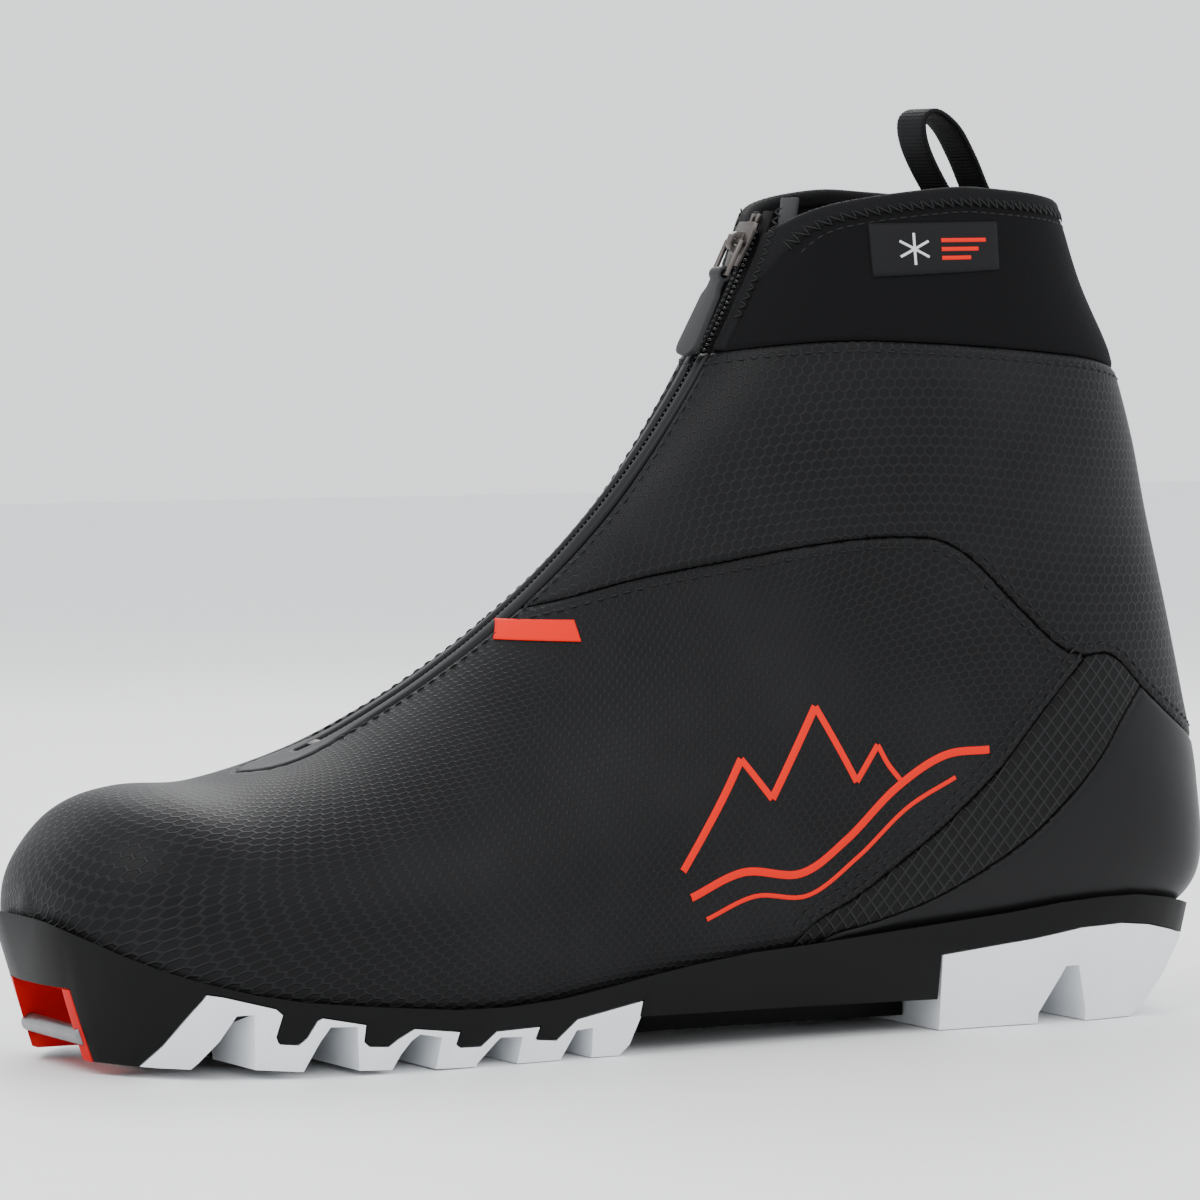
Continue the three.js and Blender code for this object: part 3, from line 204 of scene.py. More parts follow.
midFront = smoothLine([(112, 94.5), (124, 97.6), (132, 99.7), (149, 104.2), (166.5, 107.4), (184, 110.6),
                       (199, 112.5), (212, 112.4), (218, 110.6), (224.3, 106.5), (236, 95.8), (247, 86.8),
                       (254.3, 84.6)], 60)
midBack = smoothLine([(254.3, 84.6), (260, 85), (264.8, 83), (271.5, 77.2), (280.7, 70.8), (291, 65.3),
                      (306, 58)], 30)
midSeam = np.vstack([midFront, midBack[1:]])
collarSeam = smoothLine([(164, 151.8), (174.6, 154.8), (187, 156.6), (198.5, 157.1), (211.6, 156.6),
                         (226.4, 155.7), (242.8, 154.4), (256, 153.2), (266, 151.6), (288, 147)], 48)
bandOuter = smoothLine([(276, 82), (271.5, 77.2), (264.8, 69.5), (259, 61.5), (250.6, 52.6), (240, 43.8),
                        (227, 36.2), (213, 29.8), (199, 25.5), (186, 22), (176, 10)], 44)
bandInner = smoothLine([(258, 90), (254.3, 84.6), (247, 77), (239, 68), (231.3, 59.4), (218.2, 48.4),
                        (205, 39.3), (192.4, 31.3), (181, 25), (168, 8)], 44)
rimLine = smoothLine([(176, 168), (184, 178.5), (189.5, 184.5), (195, 187.7), (202, 189.5), (212, 191),
                      (223.5, 192), (234, 191.5), (247.7, 190.4), (259, 188.7), (275, 186)], 48)
# upper edge of the sole along the boot
featherX = [4.6, 9.5, 15.2, 22.3, 30, 41, 52, 64, 75, 88, 101, 115, 126, 139, 150, 165, 182, 200, 221, 235,
            249, 260, 271, 282, 292, 301.4]
featherZ = [33.6, 30.4, 27.2, 24, 21.4, 18.5, 16.5, 15.2, 14.2, 13, 12.8, 13.7, 15.3, 17.6, 19.2, 20.9, 21.8,
            23.4, 25.3, 26.2, 27.9, 28.6, 28.6, 27, 24.8, 22]
# half width of the placket along the boot
placketX = [57, 59, 62, 67, 73, 82, 94, 178]
placketY = [0.6, 4.2, 6.8, 8, 7.4, 5.6, 4.9, 4.9]


# signed distance to an open line in side view, positive on its left (above a line drawn heelwards)
def lineSide(line, x, z):
    a, b = line[:-1], line[1:]
    d = b - a
    p = np.stack([x, z], -1)[..., None, :]
    t = np.clip(((p - a) * d).sum(-1) / (d * d).sum(-1), 0, 1)
    gapVector = p - (a + t[..., None] * d)
    distance = np.linalg.norm(gapVector, axis=-1)
    k = distance.argmin(-1)[..., None]
    cross = d[..., 0] * (p[..., 1] - a[..., 1]) - d[..., 1] * (p[..., 0] - a[..., 0])
    return np.take_along_axis(distance, k, -1)[..., 0] * np.sign(np.take_along_axis(cross, k, -1)[..., 0])


# signed distance inside the placket's outline, near the ridge only
def placketEdge(x, y, z):
    first, nearRidge, far = placketX[0], 22, -30
    inside = np.interp(x, placketX, placketY) - np.abs(y)
    ridge = arc["z"] - np.sqrt(np.maximum(arc["radius"] ** 2 - (x - arc["x"]) ** 2, 0))
    onTop = (x > first - 7) & (z > ridge - nearRidge)
    return np.where(onTop, np.where(x < first, -np.hypot(first - x, y), inside), far)


# meshes on the form
def newObject(name, points, faces):
    mesh = bpy.data.meshes.new(name)
    mesh.from_pydata([tuple(p) for p in toFrame(points)], [], [tuple(int(v) for v in f) for f in faces])
    mesh.validate()
    piece = bpy.data.objects.new(name, mesh)
    bpy.context.collection.objects.link(piece)
    mesh.shade_smooth()
    return piece


def turnOutward(piece):
    work = bmesh.new()
    work.from_mesh(piece.data)
    bmesh.ops.recalc_face_normals(work, faces=work.faces)
    work.to_mesh(piece.data)
    work.free()


# grid cells of (u, angle) where field is above zero, cut along its zero line
def clippedGrid(us, angles, field, around):
    rows, columns = len(us), len(angles)
    u, a = np.meshgrid(us, angles, indexing='ij')
    f = field(u.ravel(), a.ravel()).reshape(u.shape)
    number = np.arange(rows * columns).reshape(rows, columns)
    i, j = np.meshgrid(np.arange(rows - 1), np.arange(columns if around else columns - 1), indexing='ij')
    k = (j + 1) % columns
    corners = np.stack([number[i, j], number[i + 1, j], number[i + 1, k], number[i, k]], -1).reshape(-1, 4)
    values = f.ravel()[corners]
    faces = [tuple(c) for c in corners[(values > 0).all(1)]]
    us, angles, f = list(u.ravel()), list(a.ravel()), list(f.ravel())
    cuts = {}

    def cut(p, q):
        key = (min(p, q), max(p, q))
        if key not in cuts:
            t = f[p] / (f[p] - f[q])
            turn = angles[q] - angles[p]
            turn -= 2 * math.pi * round(turn / (2 * math.pi))
            us.append(us[p] + (us[q] - us[p]) * t)
            angles.append(angles[p] + turn * t)
            f.append(0.0)
            cuts[key] = len(us) - 1
        return cuts[key]

    for quad in corners[(values > 0).any(1) & ~(values > 0).all(1)]:
        outline = []
        for p, q in zip(quad, np.roll(quad, -1)):
            if f[p] > 0:
                outline.append(int(p))
            if (f[p] > 0) != (f[q] > 0):
                outline.append(cut(int(p), int(q)))
        if len(outline) > 2:
            faces.append(tuple(outline))
    used = sorted({v for face in faces for v in face})
    index = {v: n for n, v in enumerate(used)}
    return (np.array(us)[used], np.array(angles)[used], np.array(f)[used],
            [tuple(index[v] for v in face) for face in faces])


# the sheet's own flat pattern as UV in metres, turned so that its outer side reads along x and z
def unwrapped(piece):
    bpy.context.view_layer.objects.active = piece
    piece.select_set(True)
    bpy.ops.object.mode_set(mode='EDIT')
    bpy.ops.mesh.select_all(action='SELECT')
    bpy.ops.uv.unwrap(method='MINIMUM_STRETCH', margin=0, iterations=6)
    bpy.ops.object.mode_set(mode='OBJECT')
    piece.select_set(False)
    mesh = piece.data
    loops = len(mesh.loops)
    uv = np.zeros(loops * 2)
    mesh.uv_layers.active.data.foreach_get('uv', uv)
    vertex = np.zeros(loops, int)
    mesh.loops.foreach_get('vertex_index', vertex)
    place = np.zeros(len(mesh.vertices) * 3)
    mesh.vertices.foreach_get('co', place)
    place = place.reshape(-1, 3)[vertex]
    flat = uv[0::2] + 1j * uv[1::2]
    side = place[:, 1] < np.quantile(place[:, 1], 0.45)
    seen = place[side, 0] + 1j * place[side, 2]
    w = flat[side] - flat[side].mean()
    turn = (np.conj(w) * (seen - seen.mean())).sum() / (np.abs(w) ** 2).sum()
    flat = (flat - flat[side].mean()) * turn
    mesh.uv_layers.active.data.foreach_set('uv', np.stack([flat.real, flat.imag], 1).ravel())


# the form's open first ring is drawn together at the toe tip
def toePole(u, points):
    first = u < 1e-6
    if first.any():
        points[first] = points[first].mean(0) - np.array([0.7, 0, 0])
    return points


# closed soft panel where field(u, angle) > 0; top and under give both levels from the edge distance
def shell(name, field, look, top, under, us, angles, room=0.0, around=False, pattern=True):
    u, a, f, faces = clippedGrid(us, angles, field, around)
    high = toePole(u, onForm(u, a, top(f), room))
    piece = newObject(name, high, faces)
    if pattern:
        unwrapped(piece)
    mesh = piece.data
    count = len(mesh.vertices)
    low = toFrame(toePole(u, onForm(u, a, under(f), room)))
    work = bmesh.new()
    work.from_mesh(mesh)
    work.verts.ensure_lookup_table()
    rim = [e for e in work.edges if e.is_boundary]
    layer = work.loops.layers.uv.active
    twins = [work.verts.new(p) for p in low]
    for face in list(work.faces):
        made = work.faces.new([twins[v.index] for v in reversed(face.verts)])
        made.smooth = True
        if layer:
            for loop, source in zip(made.loops, reversed(list(face.loops))):
                loop[layer].uv = source[layer].uv
    for edge in rim:
        loop = edge.link_loops[0]
        a0, b0 = loop.vert, loop.link_loop_next.vert
        made = work.faces.new([b0, a0, twins[a0.index], twins[b0.index]])
        made.smooth = True
        if layer:
            sources = (loop.link_loop_next, loop, loop, loop.link_loop_next)
            for target, source in zip(made.loops, sources):
                target[layer].uv = source[layer].uv
    bmesh.ops.remove_doubles(work, verts=work.verts, dist=0.00004)
    work.to_mesh(mesh)
    work.free()
    dress(piece, look)
    return piece


# how far a surface falls away at a distance f inside an edge that is rolled with that radius
def rounded(f, radius):
    t = np.clip(1 - np.asarray(f) / radius, 0, 1)
    return radius * (1 - np.sqrt(1 - t ** 2))


def dress(piece, look):
    piece.data.materials.clear()
    piece.data.materials.append(looks[look])


def joinMeshes(name, parts, look):
    points, faces, start = [], [], 0
    for p, f in parts:
        points.append(np.asarray(p))
        faces += [tuple(v + start for v in face) for face in f]
        start += len(p)
    piece = newObject(name, np.vstack(points), faces)
    dress(piece, look)
    return piece


# closed thread along a short path, wide across and high along the surface normal
def tube(path, normals, wide, high, sides=6):
    path, normals = np.asarray(path), np.asarray(normals)
    n = len(path)
    step = np.gradient(path, axis=0)
    across = np.cross(step, normals)
    across /= np.linalg.norm(across, axis=1, keepdims=True)
    taper = np.sqrt(np.clip(1 - np.abs(np.linspace(-1, 1, n)) ** 4, 0.12, 1))[:, None]
    rings = [path + taper * (across * wide / 2 * math.cos(t) + normals * high / 2 * math.sin(t))
             for t in np.linspace(0, 2 * math.pi, sides, endpoint=False)]
    points = np.stack(rings, 1).reshape(-1, 3)
    turns = [(j, (j + 1) % sides) for j in range(sides)]
    faces = [(i * sides + j, (i + 1) * sides + j, (i + 1) * sides + k, i * sides + k)
             for i in range(n - 1) for j, k in turns]
    faces += [tuple(range(sides)), tuple(range(n * sides - 1, (n - 1) * sides - 1, -1))]
    return points, faces


def resampled(points, step):
    points = np.asarray(points, float)
    along = np.concatenate([[0], np.cumsum(np.linalg.norm(np.diff(points, axis=0), axis=1))])
    marks = np.arange(0, along[-1], step)
    return np.stack([np.interp(marks, along, points[:, k]) for k in range(points.shape[1])], 1)


def surfacePath(u, a, out, room=0.0):
    points = onForm(u, a, out, room)
    return points, points - onForm(u, a, np.asarray(out) - 1, room)


def sidePath(line, side, out=0.1):
    u, a = locate(line[:, 0], line[:, 1])
    return surfacePath(u, side * a, out)


# separate straight stitches along a path, their ends pressed in by dip
def stitches(points, normals, pitch=3.1, length=2.45, wide=0.62, high=0.5, step=0.35, dip=0.16):
    both = resampled(np.hstack([points, normals]), step)
    per, long = int(round(pitch / step)), int(round(length / step))
    parts = []
    for start in range(0, len(both) - per, per):
        piece = both[start:start + long + 1][:: max(long // 3, 1)]
        sunk = dip * np.linspace(-1, 1, len(piece))[:, None] ** 2
        parts.append(tube(piece[:, :3] - piece[:, 3:] * sunk, piece[:, 3:], wide, high))
    return parts


# flat print of some width along a side-view line, laid on the form
def ribbonOn(line, half, out, rise=0.12):
    edges = [shifted(line, h) for h in np.linspace(half, -half, 5)]
    levels = [out - rise, out, out, out, out - rise]
    strips = []
    for edge, level in zip(edges, levels):
        u, a = locate(edge[:, 0], edge[:, 1])
        strips.append(onForm(u, -a, level))
    points = np.stack(strips, 1)
    n, m = points.shape[:2]
    faces = [(i * m + j, (i + 1) * m + j, (i + 1) * m + j + 1, i * m + j + 1)
             for i in range(n - 1) for j in range(m - 1)]
    return points.reshape(-1, 3), faces


# a smooth copy of a hard CAD piece with its edges rounded
def softened(node, look, width=0.35, segments=2, angle=35, name=None):
    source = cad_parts[node]
    mesh = source.data.copy()
    piece = bpy.data.objects.new(name or node + "_made", mesh)
    bpy.context.collection.objects.link(piece)
    work = bmesh.new()
    work.from_mesh(mesh)
    bmesh.ops.remove_doubles(work, verts=work.verts, dist=0.00002)
    bmesh.ops.dissolve_limit(work, angle_limit=math.radians(2), verts=work.verts, edges=work.edges)
    work.to_mesh(mesh)
    work.free()
    bpy.context.view_layer.objects.active = piece
    piece.select_set(True)
    if width:
        bevel = piece.modifiers.new("edges", 'BEVEL')
        bevel.width = width / 1000
        bevel.segments = segments
        bevel.limit_method = 'ANGLE'
        bevel.angle_limit = math.radians(angle)
        bevel.use_clamp_overlap = True
        bpy.ops.object.modifier_apply(modifier="edges")
    bpy.ops.object.shade_smooth_by_angle(angle=math.radians(angle))
    piece.select_set(False)
    dress(piece, look)
    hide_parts(node)
    return piece


# shader maths
class Wire:
    def __init__(self, tree, socket=None):
        self.tree = tree
        self.socket = socket

    def node(self, kind, settings=None, **inputs):
        made = self.tree.nodes.new(kind)
        for key, value in (settings or {}).items():
            setattr(made, key, value)
        for key, value in inputs.items():
            target = made.inputs[int(key[1:])] if key[1:].isdigit() else made.inputs[key.replace("_", " ")]
            if isinstance(value, Wire):
                self.tree.links.new(value.socket, target)
            else:
                target.default_value = value
        return made

    def out(self, kind, output, settings=None, **inputs):
        return Wire(self.tree, self.node(kind, settings, **inputs).outputs[output])

    def calc(self, operation, *values):
        inputs = {"i%d" % k: value for k, value in enumerate(values)}
        return self.out("ShaderNodeMath", 0, {"operation": operation}, **inputs)

    def __add__(self, other):
        return self.calc('ADD', self, other)

    def __radd__(self, other):
        return self.calc('ADD', other, self)

    def __sub__(self, other):
        return self.calc('SUBTRACT', self, other)

    def __rsub__(self, other):
        return self.calc('SUBTRACT', other, self)

    def __mul__(self, other):
        return self.calc('MULTIPLY', self, other)

    def __rmul__(self, other):
        return self.calc('MULTIPLY', other, self)

    def __truediv__(self, other):
        return self.calc('DIVIDE', self, other)

    def __neg__(self):
        return self.calc('MULTIPLY', self, -1)

    def __abs__(self):
        return self.calc('ABSOLUTE', self)

    def step(self, low, high):
        kind = {"interpolation_type": 'SMOOTHSTEP'}
        return self.out("ShaderNodeMapRange", 0, kind, Value=self, i1=low, i2=high)


looks = {}


class Look:
    def __init__(self, name):
        self.material = bpy.data.materials.new(name)
        self.material.use_nodes = True
        tree = self.material.node_tree
        self.tree = tree
        self.shader = tree.nodes["Principled BSDF"]
        self.w = Wire(tree)
        looks[name] = self.material
        place = self.w.node("ShaderNodeTexCoord")
        self.object = Wire(tree, place.outputs["Object"])
        self.uv = Wire(tree, place.outputs["UV"])

    def split(self, vector):
        made = self.w.node("ShaderNodeSeparateXYZ", Vector=vector)
        return [Wire(self.tree, made.outputs[k]) for k in range(3)]

    def noise(self, scale, detail=4.0, rough=0.55, vector=None):
        return self.w.out("ShaderNodeTexNoise", 0, None, Vector=vector or self.object, Scale=scale,
                          Detail=detail, Roughness=rough)

    def mix(self, factor, a, b):
        a, b = ((*colour, 1) if isinstance(colour, tuple) else colour for colour in (a, b))
        return self.w.out("ShaderNodeMix", 2, {"data_type": 'RGBA'}, i0=factor, i6=a, i7=b)

    def finish(self, colour=None, rough=None, bumps=(), **fixed):
        for key, value in fixed.items():
            self.shader.inputs[key.replace("_", " ")].default_value = value
        if colour is not None:
            self.link(colour, "Base Color")
        if rough is not None:
            self.link(rough, "Roughness")
        normal = None
        for height, distance, strength in bumps:
            inputs = dict(Height=height, Distance=distance, Strength=strength)
            if normal:
                inputs["Normal"] = normal
            normal = self.w.out("ShaderNodeBump", 0, None, **inputs)
        if normal:
            self.link(normal, "Normal")
        return self.material

    def link(self, value, socket):
        if isinstance(value, Wire):
            self.tree.links.new(value.socket, self.shader.inputs[socket])
        elif isinstance(value, tuple):
            self.shader.inputs[socket].default_value = (*value, 1)
        else:
            self.shader.inputs[socket].default_value = value


# 0.5 on the cell walls, 0 in the middle of a cell
def honeycomb(u, v, pitch):
    root = math.sqrt(3)
    x, y = u * (1 / pitch), v * (1 / pitch / root)

    def cell(x, y):
        dx = abs(x.calc('FRACT', x) - 0.5)
        dy = abs(y.calc('FRACT', y) - 0.5) * root
        return dx.calc('MAXIMUM', dx, dx * 0.5 + dy * (root / 2))

    first, second = cell(x, y), cell(x + 0.5, y + 0.5)
    return first.calc('MINIMUM', first, second)


# 1 on the walls of a square grid turned by 45 degrees
def grid(u, v, pitch, wall):
    turn = 0.7071 / pitch
    a, b = (u + v) * turn, (u - v) * turn
    da = abs(a.calc('FRACT', a) - 0.5)
    db = abs(b.calc('FRACT', b) - 0.5)
    return da.calc('MAXIMUM', da, db).step(0.5 - wall, 0.5 - wall * 0.35)


# over and under of plain cloth, 0 to 1
def weave(u, v, pitch):
    turns = 2 * math.pi / pitch
    su = (u * turns).calc('SINE', u * turns)
    sv = (v * turns).calc('SINE', v * turns)
    return su * sv * 0.5 + 0.5


def grey(value, blue=0.0):
    return (value, value, value + blue)


# upper fabric with an embossed honeycomb whose raised cell walls carry a painted highlight; pitch and bump
# heights in metres
def fabricLook(name, pitch, dark, light, emboss, shine):
    k = Look(name)
    u, v, _ = k.split(k.uv)
    # the raised cell walls are painted paler than the cells: painted highlight on the net
    wall = honeycomb(u, v, pitch).step(0.36, 0.47)
    fine = k.noise(5200, 2)
    cloud = k.noise(28, 3)
    tone = k.mix(wall * 0.75 + fine * 0.2, dark, light)
    tone = k.mix(cloud.step(0.35, 0.75) * 0.35, tone, tuple(c * 1.35 for c in light))
    k.finish(tone, 0.42 + fine * 0.16 - wall * 0.06,
             [(wall, 0.00022, emboss), (fine, 0.00003, 0.35)], Specular_IOR_Level=shine)


# rubber, plastic, leather and thread: a fine grain and a faint cloud
def plainLook(name, dark, light, rough, scale=900, grain=0.00004, shine=0.5):
    k = Look(name)
    fine = k.noise(scale, 5)
    cloud = k.noise(35, 2)
    tone = k.mix(fine * 0.5 + cloud * 0.5, dark, light)
    k.finish(tone, rough - 0.06 + fine * 0.14, [(fine, grain, 0.5)], Specular_IOR_Level=shine)


# brushed and a little worn
def metalLook(name, dark, light, rough):
    k = Look(name)
    x, y, z = k.split(k.object)
    drawn = k.w.out("ShaderNodeCombineXYZ", 0, None, X=x * 2600, Y=y * 300, Z=z * 2600)
    streak = k.noise(1.0, 3, 0.6, drawn)
    wear = k.noise(260, 3)
    k.finish(k.mix(streak * 0.6 + wear * 0.4, dark, light), rough - 0.1 + streak * 0.25,
             [(streak, 0.00001, 0.4)], Metallic=1.0)


# knitted face on a piece that has its own flat pattern
def knitLook(name, pitch, dark, light, rough, lift):
    k = Look(name)
    u, v, _ = k.split(k.uv)
    over = weave(u, v, pitch)
    fluff = k.noise(3000, 3)
    k.finish(k.mix(over * 0.6 + fluff * 0.4, dark, light), rough + fluff * 0.05,
             [(over, lift, 0.6), (fluff, 0.00005, 0.5)], Specular_IOR_Level=0.1)


# woven label, webbing, tape and braid
def wovenLook(name, pitch, dark, light, rough, lift):
    k = Look(name)
    x, y, z = k.split(k.object)
    over = weave(x + z, y, pitch)
    fluff = k.noise(3600, 3)
    k.finish(k.mix(over * 0.6 + fluff * 0.4, dark, light), rough + fluff * 0.08,
             [(over, lift, 0.6), (fluff, 0.00004, 0.5)], Specular_IOR_Level=0.12)


# heel band: black cells between slightly paler walls
def bandLook(pitch, wallShare, flat, shine):
    k = Look("bandGrid")
    x, _, z = k.split(k.object)
    wall = grid(x, z * flat, pitch, wallShare)
    fine = k.noise(2500, 4)
    tone = k.mix(wall * 0.8 + fine * 0.2, grey(0.0006, 0.0001), grey(0.012, 0.0005))
    k.finish(tone, 0.5 - wall * 0.12 + fine * 0.1,
             [(wall, 0.0005, 0.9), (fine, 0.00003, 0.4)], Specular_IOR_Level=shine)


def shankLook():
    k = Look("shank")
    x, y, _ = k.split(k.object)
    twill = (x + y).calc('PINGPONG', (x + y) * 500, 1.0)
    k.finish(k.mix(twill, grey(0.02, 0.002), grey(0.05, 0.003)), 0.35, [(twill, 0.00005, 0.4)])


def floorLook():
    k = Look("floor")
    speck = k.noise(60, 4)
    k.finish(k.mix(speck, grey(0.86), grey(0.9)), 0.55, [(speck, 0.0001, 0.1)])


def makeLooks():
    # the fabric's second, paler tone is the painted highlight on the raised honeycomb walls
    fabricLook("fabric", 0.00235, grey(0.0022, 0.0003), grey(0.0085, 0.0005), 0.7, 0.13)
    plainLook("placket", grey(0.004, 0.0005), grey(0.009, 0.001), 0.42, shine=0.13)
    plainLook("counter", grey(0.003, 0.0003), grey(0.0062, 0.0004), 0.38, 1400, 0.00002, 0.15)
    plainLook("rubber", grey(0.0015), grey(0.0035), 0.47, 1600, 0.00003, 0.12)
    plainLook("tread", (0.62, 0.65, 0.68), (0.78, 0.80, 0.82), 0.5, 1800, 0.00003)
    plainLook("redPlastic", (0.42, 0.002, 0.002), (0.55, 0.003, 0.0025), 0.36, 1500, 0.00001, 0.2)
    plainLook("print", (0.62, 0.006, 0.0006), (0.7, 0.009, 0.001), 0.6, 2500, 0.00001, 0.1)
    plainLook("greyRubber", (0.014, 0.0145, 0.0155), (0.025, 0.0255, 0.027), 0.55, 1500, 0.00002, 0.25)
    plainLook("lockPlastic", grey(0.02, 0.002), grey(0.035, 0.002), 0.45)
    plainLook("board", (0.2, 0.18, 0.15), (0.34, 0.3, 0.26), 0.9, 700, 0.0001)
    plainLook("thread", grey(0.0015, 0.0002), grey(0.004, 0.0004), 0.6, 4000, 0.00004, 0.25)
    plainLook("paleThread", grey(0.45, 0.01), grey(0.6, 0.01), 0.6, 4000, 0.00004)
    plainLook("teeth", grey(0.012, 0.001), grey(0.025, 0.001), 0.4, 3000, 0.00002)
    metalLook("gunmetal", (0.045, 0.04, 0.037), (0.17, 0.15, 0.14), 0.36)
    metalLook("steel", grey(0.16, 0.005), grey(0.33, 0.005), 0.4)
    knitLook("neoprene", 0.0006, grey(0.0018, 0.0002), grey(0.0045, 0.0005), 0.82, 0.00006)
    knitLook("edging", 0.0007, grey(0.003, 0.0003), grey(0.0075, 0.0005), 0.72, 0.00008)
    knitLook("lining", 0.0016, grey(0.008, 0.001), grey(0.019, 0.002), 0.85, 0.0002)
    wovenLook("label", 0.0007, grey(0.004, 0.0004), grey(0.0105, 0.0007), 0.6, 0.00006)
    wovenLook("webbing", 0.0009, grey(0.0022, 0.0003), grey(0.006, 0.0005), 0.62, 0.0001)
    wovenLook("tape", 0.0008, grey(0.003, 0.0003), grey(0.0075, 0.0005), 0.7, 0.00008)
    wovenLook("braid", 0.0011, grey(0.012, 0.001), grey(0.03, 0.003), 0.7, 0.00015)
    bandLook(0.0025, 0.15, 0.86, 0.14)
    shankLook()
    floorLook()


makeLooks()
print("materials done")


# camera and studio
def studio():
    view = dict(azimuth=-28.0, elevation=3.03, distance=1.45, lens=192, target=(147.6, 0, 98.3))
    a, e = math.radians(view["azimuth"]), math.radians(view["elevation"])
    back = Vector((math.sin(a) * math.cos(e), -math.cos(a) * math.cos(e), math.sin(e)))
    target = Vector(toFrame(view["target"]))
    data = bpy.data.cameras.new("camera")
    data.lens = view["lens"]
    data.sensor_width = 36
    data.clip_start = 0.05
    camera = bpy.data.objects.new("camera", data)
    camera.location = target + back * view["distance"]
    camera.rotation_euler = (-back).to_track_quat('-Z', 'Y').to_euler()
    bpy.context.collection.objects.link(camera)
    bpy.context.scene.camera = camera

    bpy.ops.mesh.primitive_plane_add(size=6, location=(0, 0, -0.0002))
    floor = bpy.context.object
    floor.name = "floor"
    dress(floor, "floor")
    floor.select_set(False)

    world = bpy.data.worlds.new("studio")
    bpy.context.scene.world = world
    world.use_nodes = True
    world.node_tree.nodes["Background"].inputs["Color"].default_value = (0.95, 0.97, 1, 1)
    world.node_tree.nodes["Background"].inputs["Strength"].default_value = 1.5
    # name, place seen from the boot (azimuth, elevation, distance), size, power
    lamps = [("key", -80, 48, 1.3, 0.7, 9), ("front", -10, 35, 1.6, 0.8, 4), ("back", 150, 40, 1.2, 0.8, 8),
             ("side", 40, 30, 1.4, 0.6, 4)]
    for name, azimuth, elevation, distance, size, power in lamps:
        a, e = math.radians(azimuth), math.radians(elevation)
        light = bpy.data.lights.new(name, 'AREA')
        light.shape = 'DISK'
        light.size = size
        light.energy = power
        lamp = bpy.data.objects.new(name, light)
        away = Vector((math.sin(a) * math.cos(e), -math.cos(a) * math.cos(e), math.sin(e)))
        lamp.location = Vector((0, 0, 0.08)) + away * distance
        lamp.rotation_euler = (-away).to_track_quat('-Z', 'Y').to_euler()
        bpy.context.collection.objects.link(lamp)


studio()

# outer panels
seamRoom = 0.12        # half of the open seam between two panels
placketRoom = 0.15
soleTuck = 6.0         # the panels run on this far inside the sole's edge
# tuck: how deep a panel's edge is pressed in over the width edge; behind: first row of the rear panels
skin = dict(rows=330, columns=330, thick=1.2, edge=0.9, tuck=0.55, proud=0.05, behind=100)
stretch = np.linspace(0, 1, skin["rows"])
ringAngles = np.linspace(-np.pi, np.pi, skin["columns"], endpoint=False)


def fieldOf(*tests):
    def field(u, a):
        p = formPoint(u, a)
        return np.minimum.reduce([t(p[:, 0], p[:, 1], p[:, 2]) for t in tests])
    return field


def above(line, room=0.0):
    return lambda x, y, z: lineSide(line, x, z) - room


def below(line, room=0.0):
    return lambda x, y, z: -lineSide(line, x, z) - room


def offPlacket(x, y, z):
    return -placketEdge(x, y, z) - placketRoom


def overSole(x, y, z):
    return z - (np.interp(x, featherX, featherZ) - soleTuck)


def panelTop(f):
    return -skin["tuck"] * np.clip(1 - f / skin["edge"], 0, 1) ** 2


def panelUnder(f):
    return np.full_like(f, -skin["thick"])


bandFront, bandBack = bandInner[::-1], bandOuter[::-1]     # the heel band's edges, drawn heelwards
vamp = shell("vamp_skin",
             fieldOf(below(midSeam, seamRoom), above(bandFront, seamRoom), offPlacket, overSole),
             "fabric", panelTop, panelUnder, stretch, ringAngles, around=True)
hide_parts("vamp")
ankle = shell("ankle_skin",
              fieldOf(above(midSeam, seamRoom), below(collarSeam, seamRoom), offPlacket, overSole),
              "fabric", lambda f: panelTop(f) + skin["proud"], panelUnder, stretch[skin["behind"]:],
              ringAngles, around=True)
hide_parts("ankle_panel")
counter = shell("counter_skin", fieldOf(below(midBack, seamRoom), below(bandBack, seamRoom), overSole),
                "counter", panelTop, panelUnder, stretch[skin["behind"]:], ringAngles, around=True)
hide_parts("heel_counter")
sideAngles = np.linspace(0.2, 3.0, 240)
for angles, word in ((-sideAngles[::-1], "lateral"), (sideAngles, "medial")):
    band = shell("band_" + word, fieldOf(above(bandBack, seamRoom), below(bandFront, seamRoom),
                                         below(midBack, seamRoom), overSole),
                 "bandGrid", panelTop, panelUnder, np.linspace(0.3, 0.75, 240), angles)
    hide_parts("heel_band_" + word)
    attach(band, "boot")
placket = shell("placket_strips", fieldOf(lambda x, y, z: placketEdge(x, y, z) - placketRoom,
                                          lambda x, y, z: np.where(x < 71, 9, np.abs(y) - 0.9),
                                          below(collarSeam, seamRoom)),
                "placket", panelTop, panelUnder, np.linspace(0.2, 0.93, 420), np.linspace(-0.7, 0.7, 70))
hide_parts("zip_placket")
for piece in (vamp, ankle, counter, placket):
    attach(piece, "boot")
print("panels done")

# collar with its rolled edge
collarSize = dict(thick=2.6, wide=4.5, proud=0.4, slot=5.0, roll=1.5)


def slotEdge(room):
    def test(x, y, z):
        front = x < 230
        return np.where(front, np.abs(y) - collarSize["slot"] - room, 99)
    return test


wide = collarSize["wide"]
collarRows = np.linspace(0.82, 1, 130)
under = wide - 1       # the collar runs on below its rolled edge
collarPiece = shell("collar_knit",
                    fieldOf(above(collarSeam, seamRoom), below(rimLine, under), slotEdge(under)),
                    "neoprene", lambda f: 0.25 * smoothstep(f, 0, 4) - 0.5 * np.clip(1 - f / 1.2, 0, 1) ** 2,
                    lambda f: np.full_like(f, -collarSize["thick"]), collarRows, ringAngles, around=True)
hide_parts("collar")
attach(collarPiece, "boot")


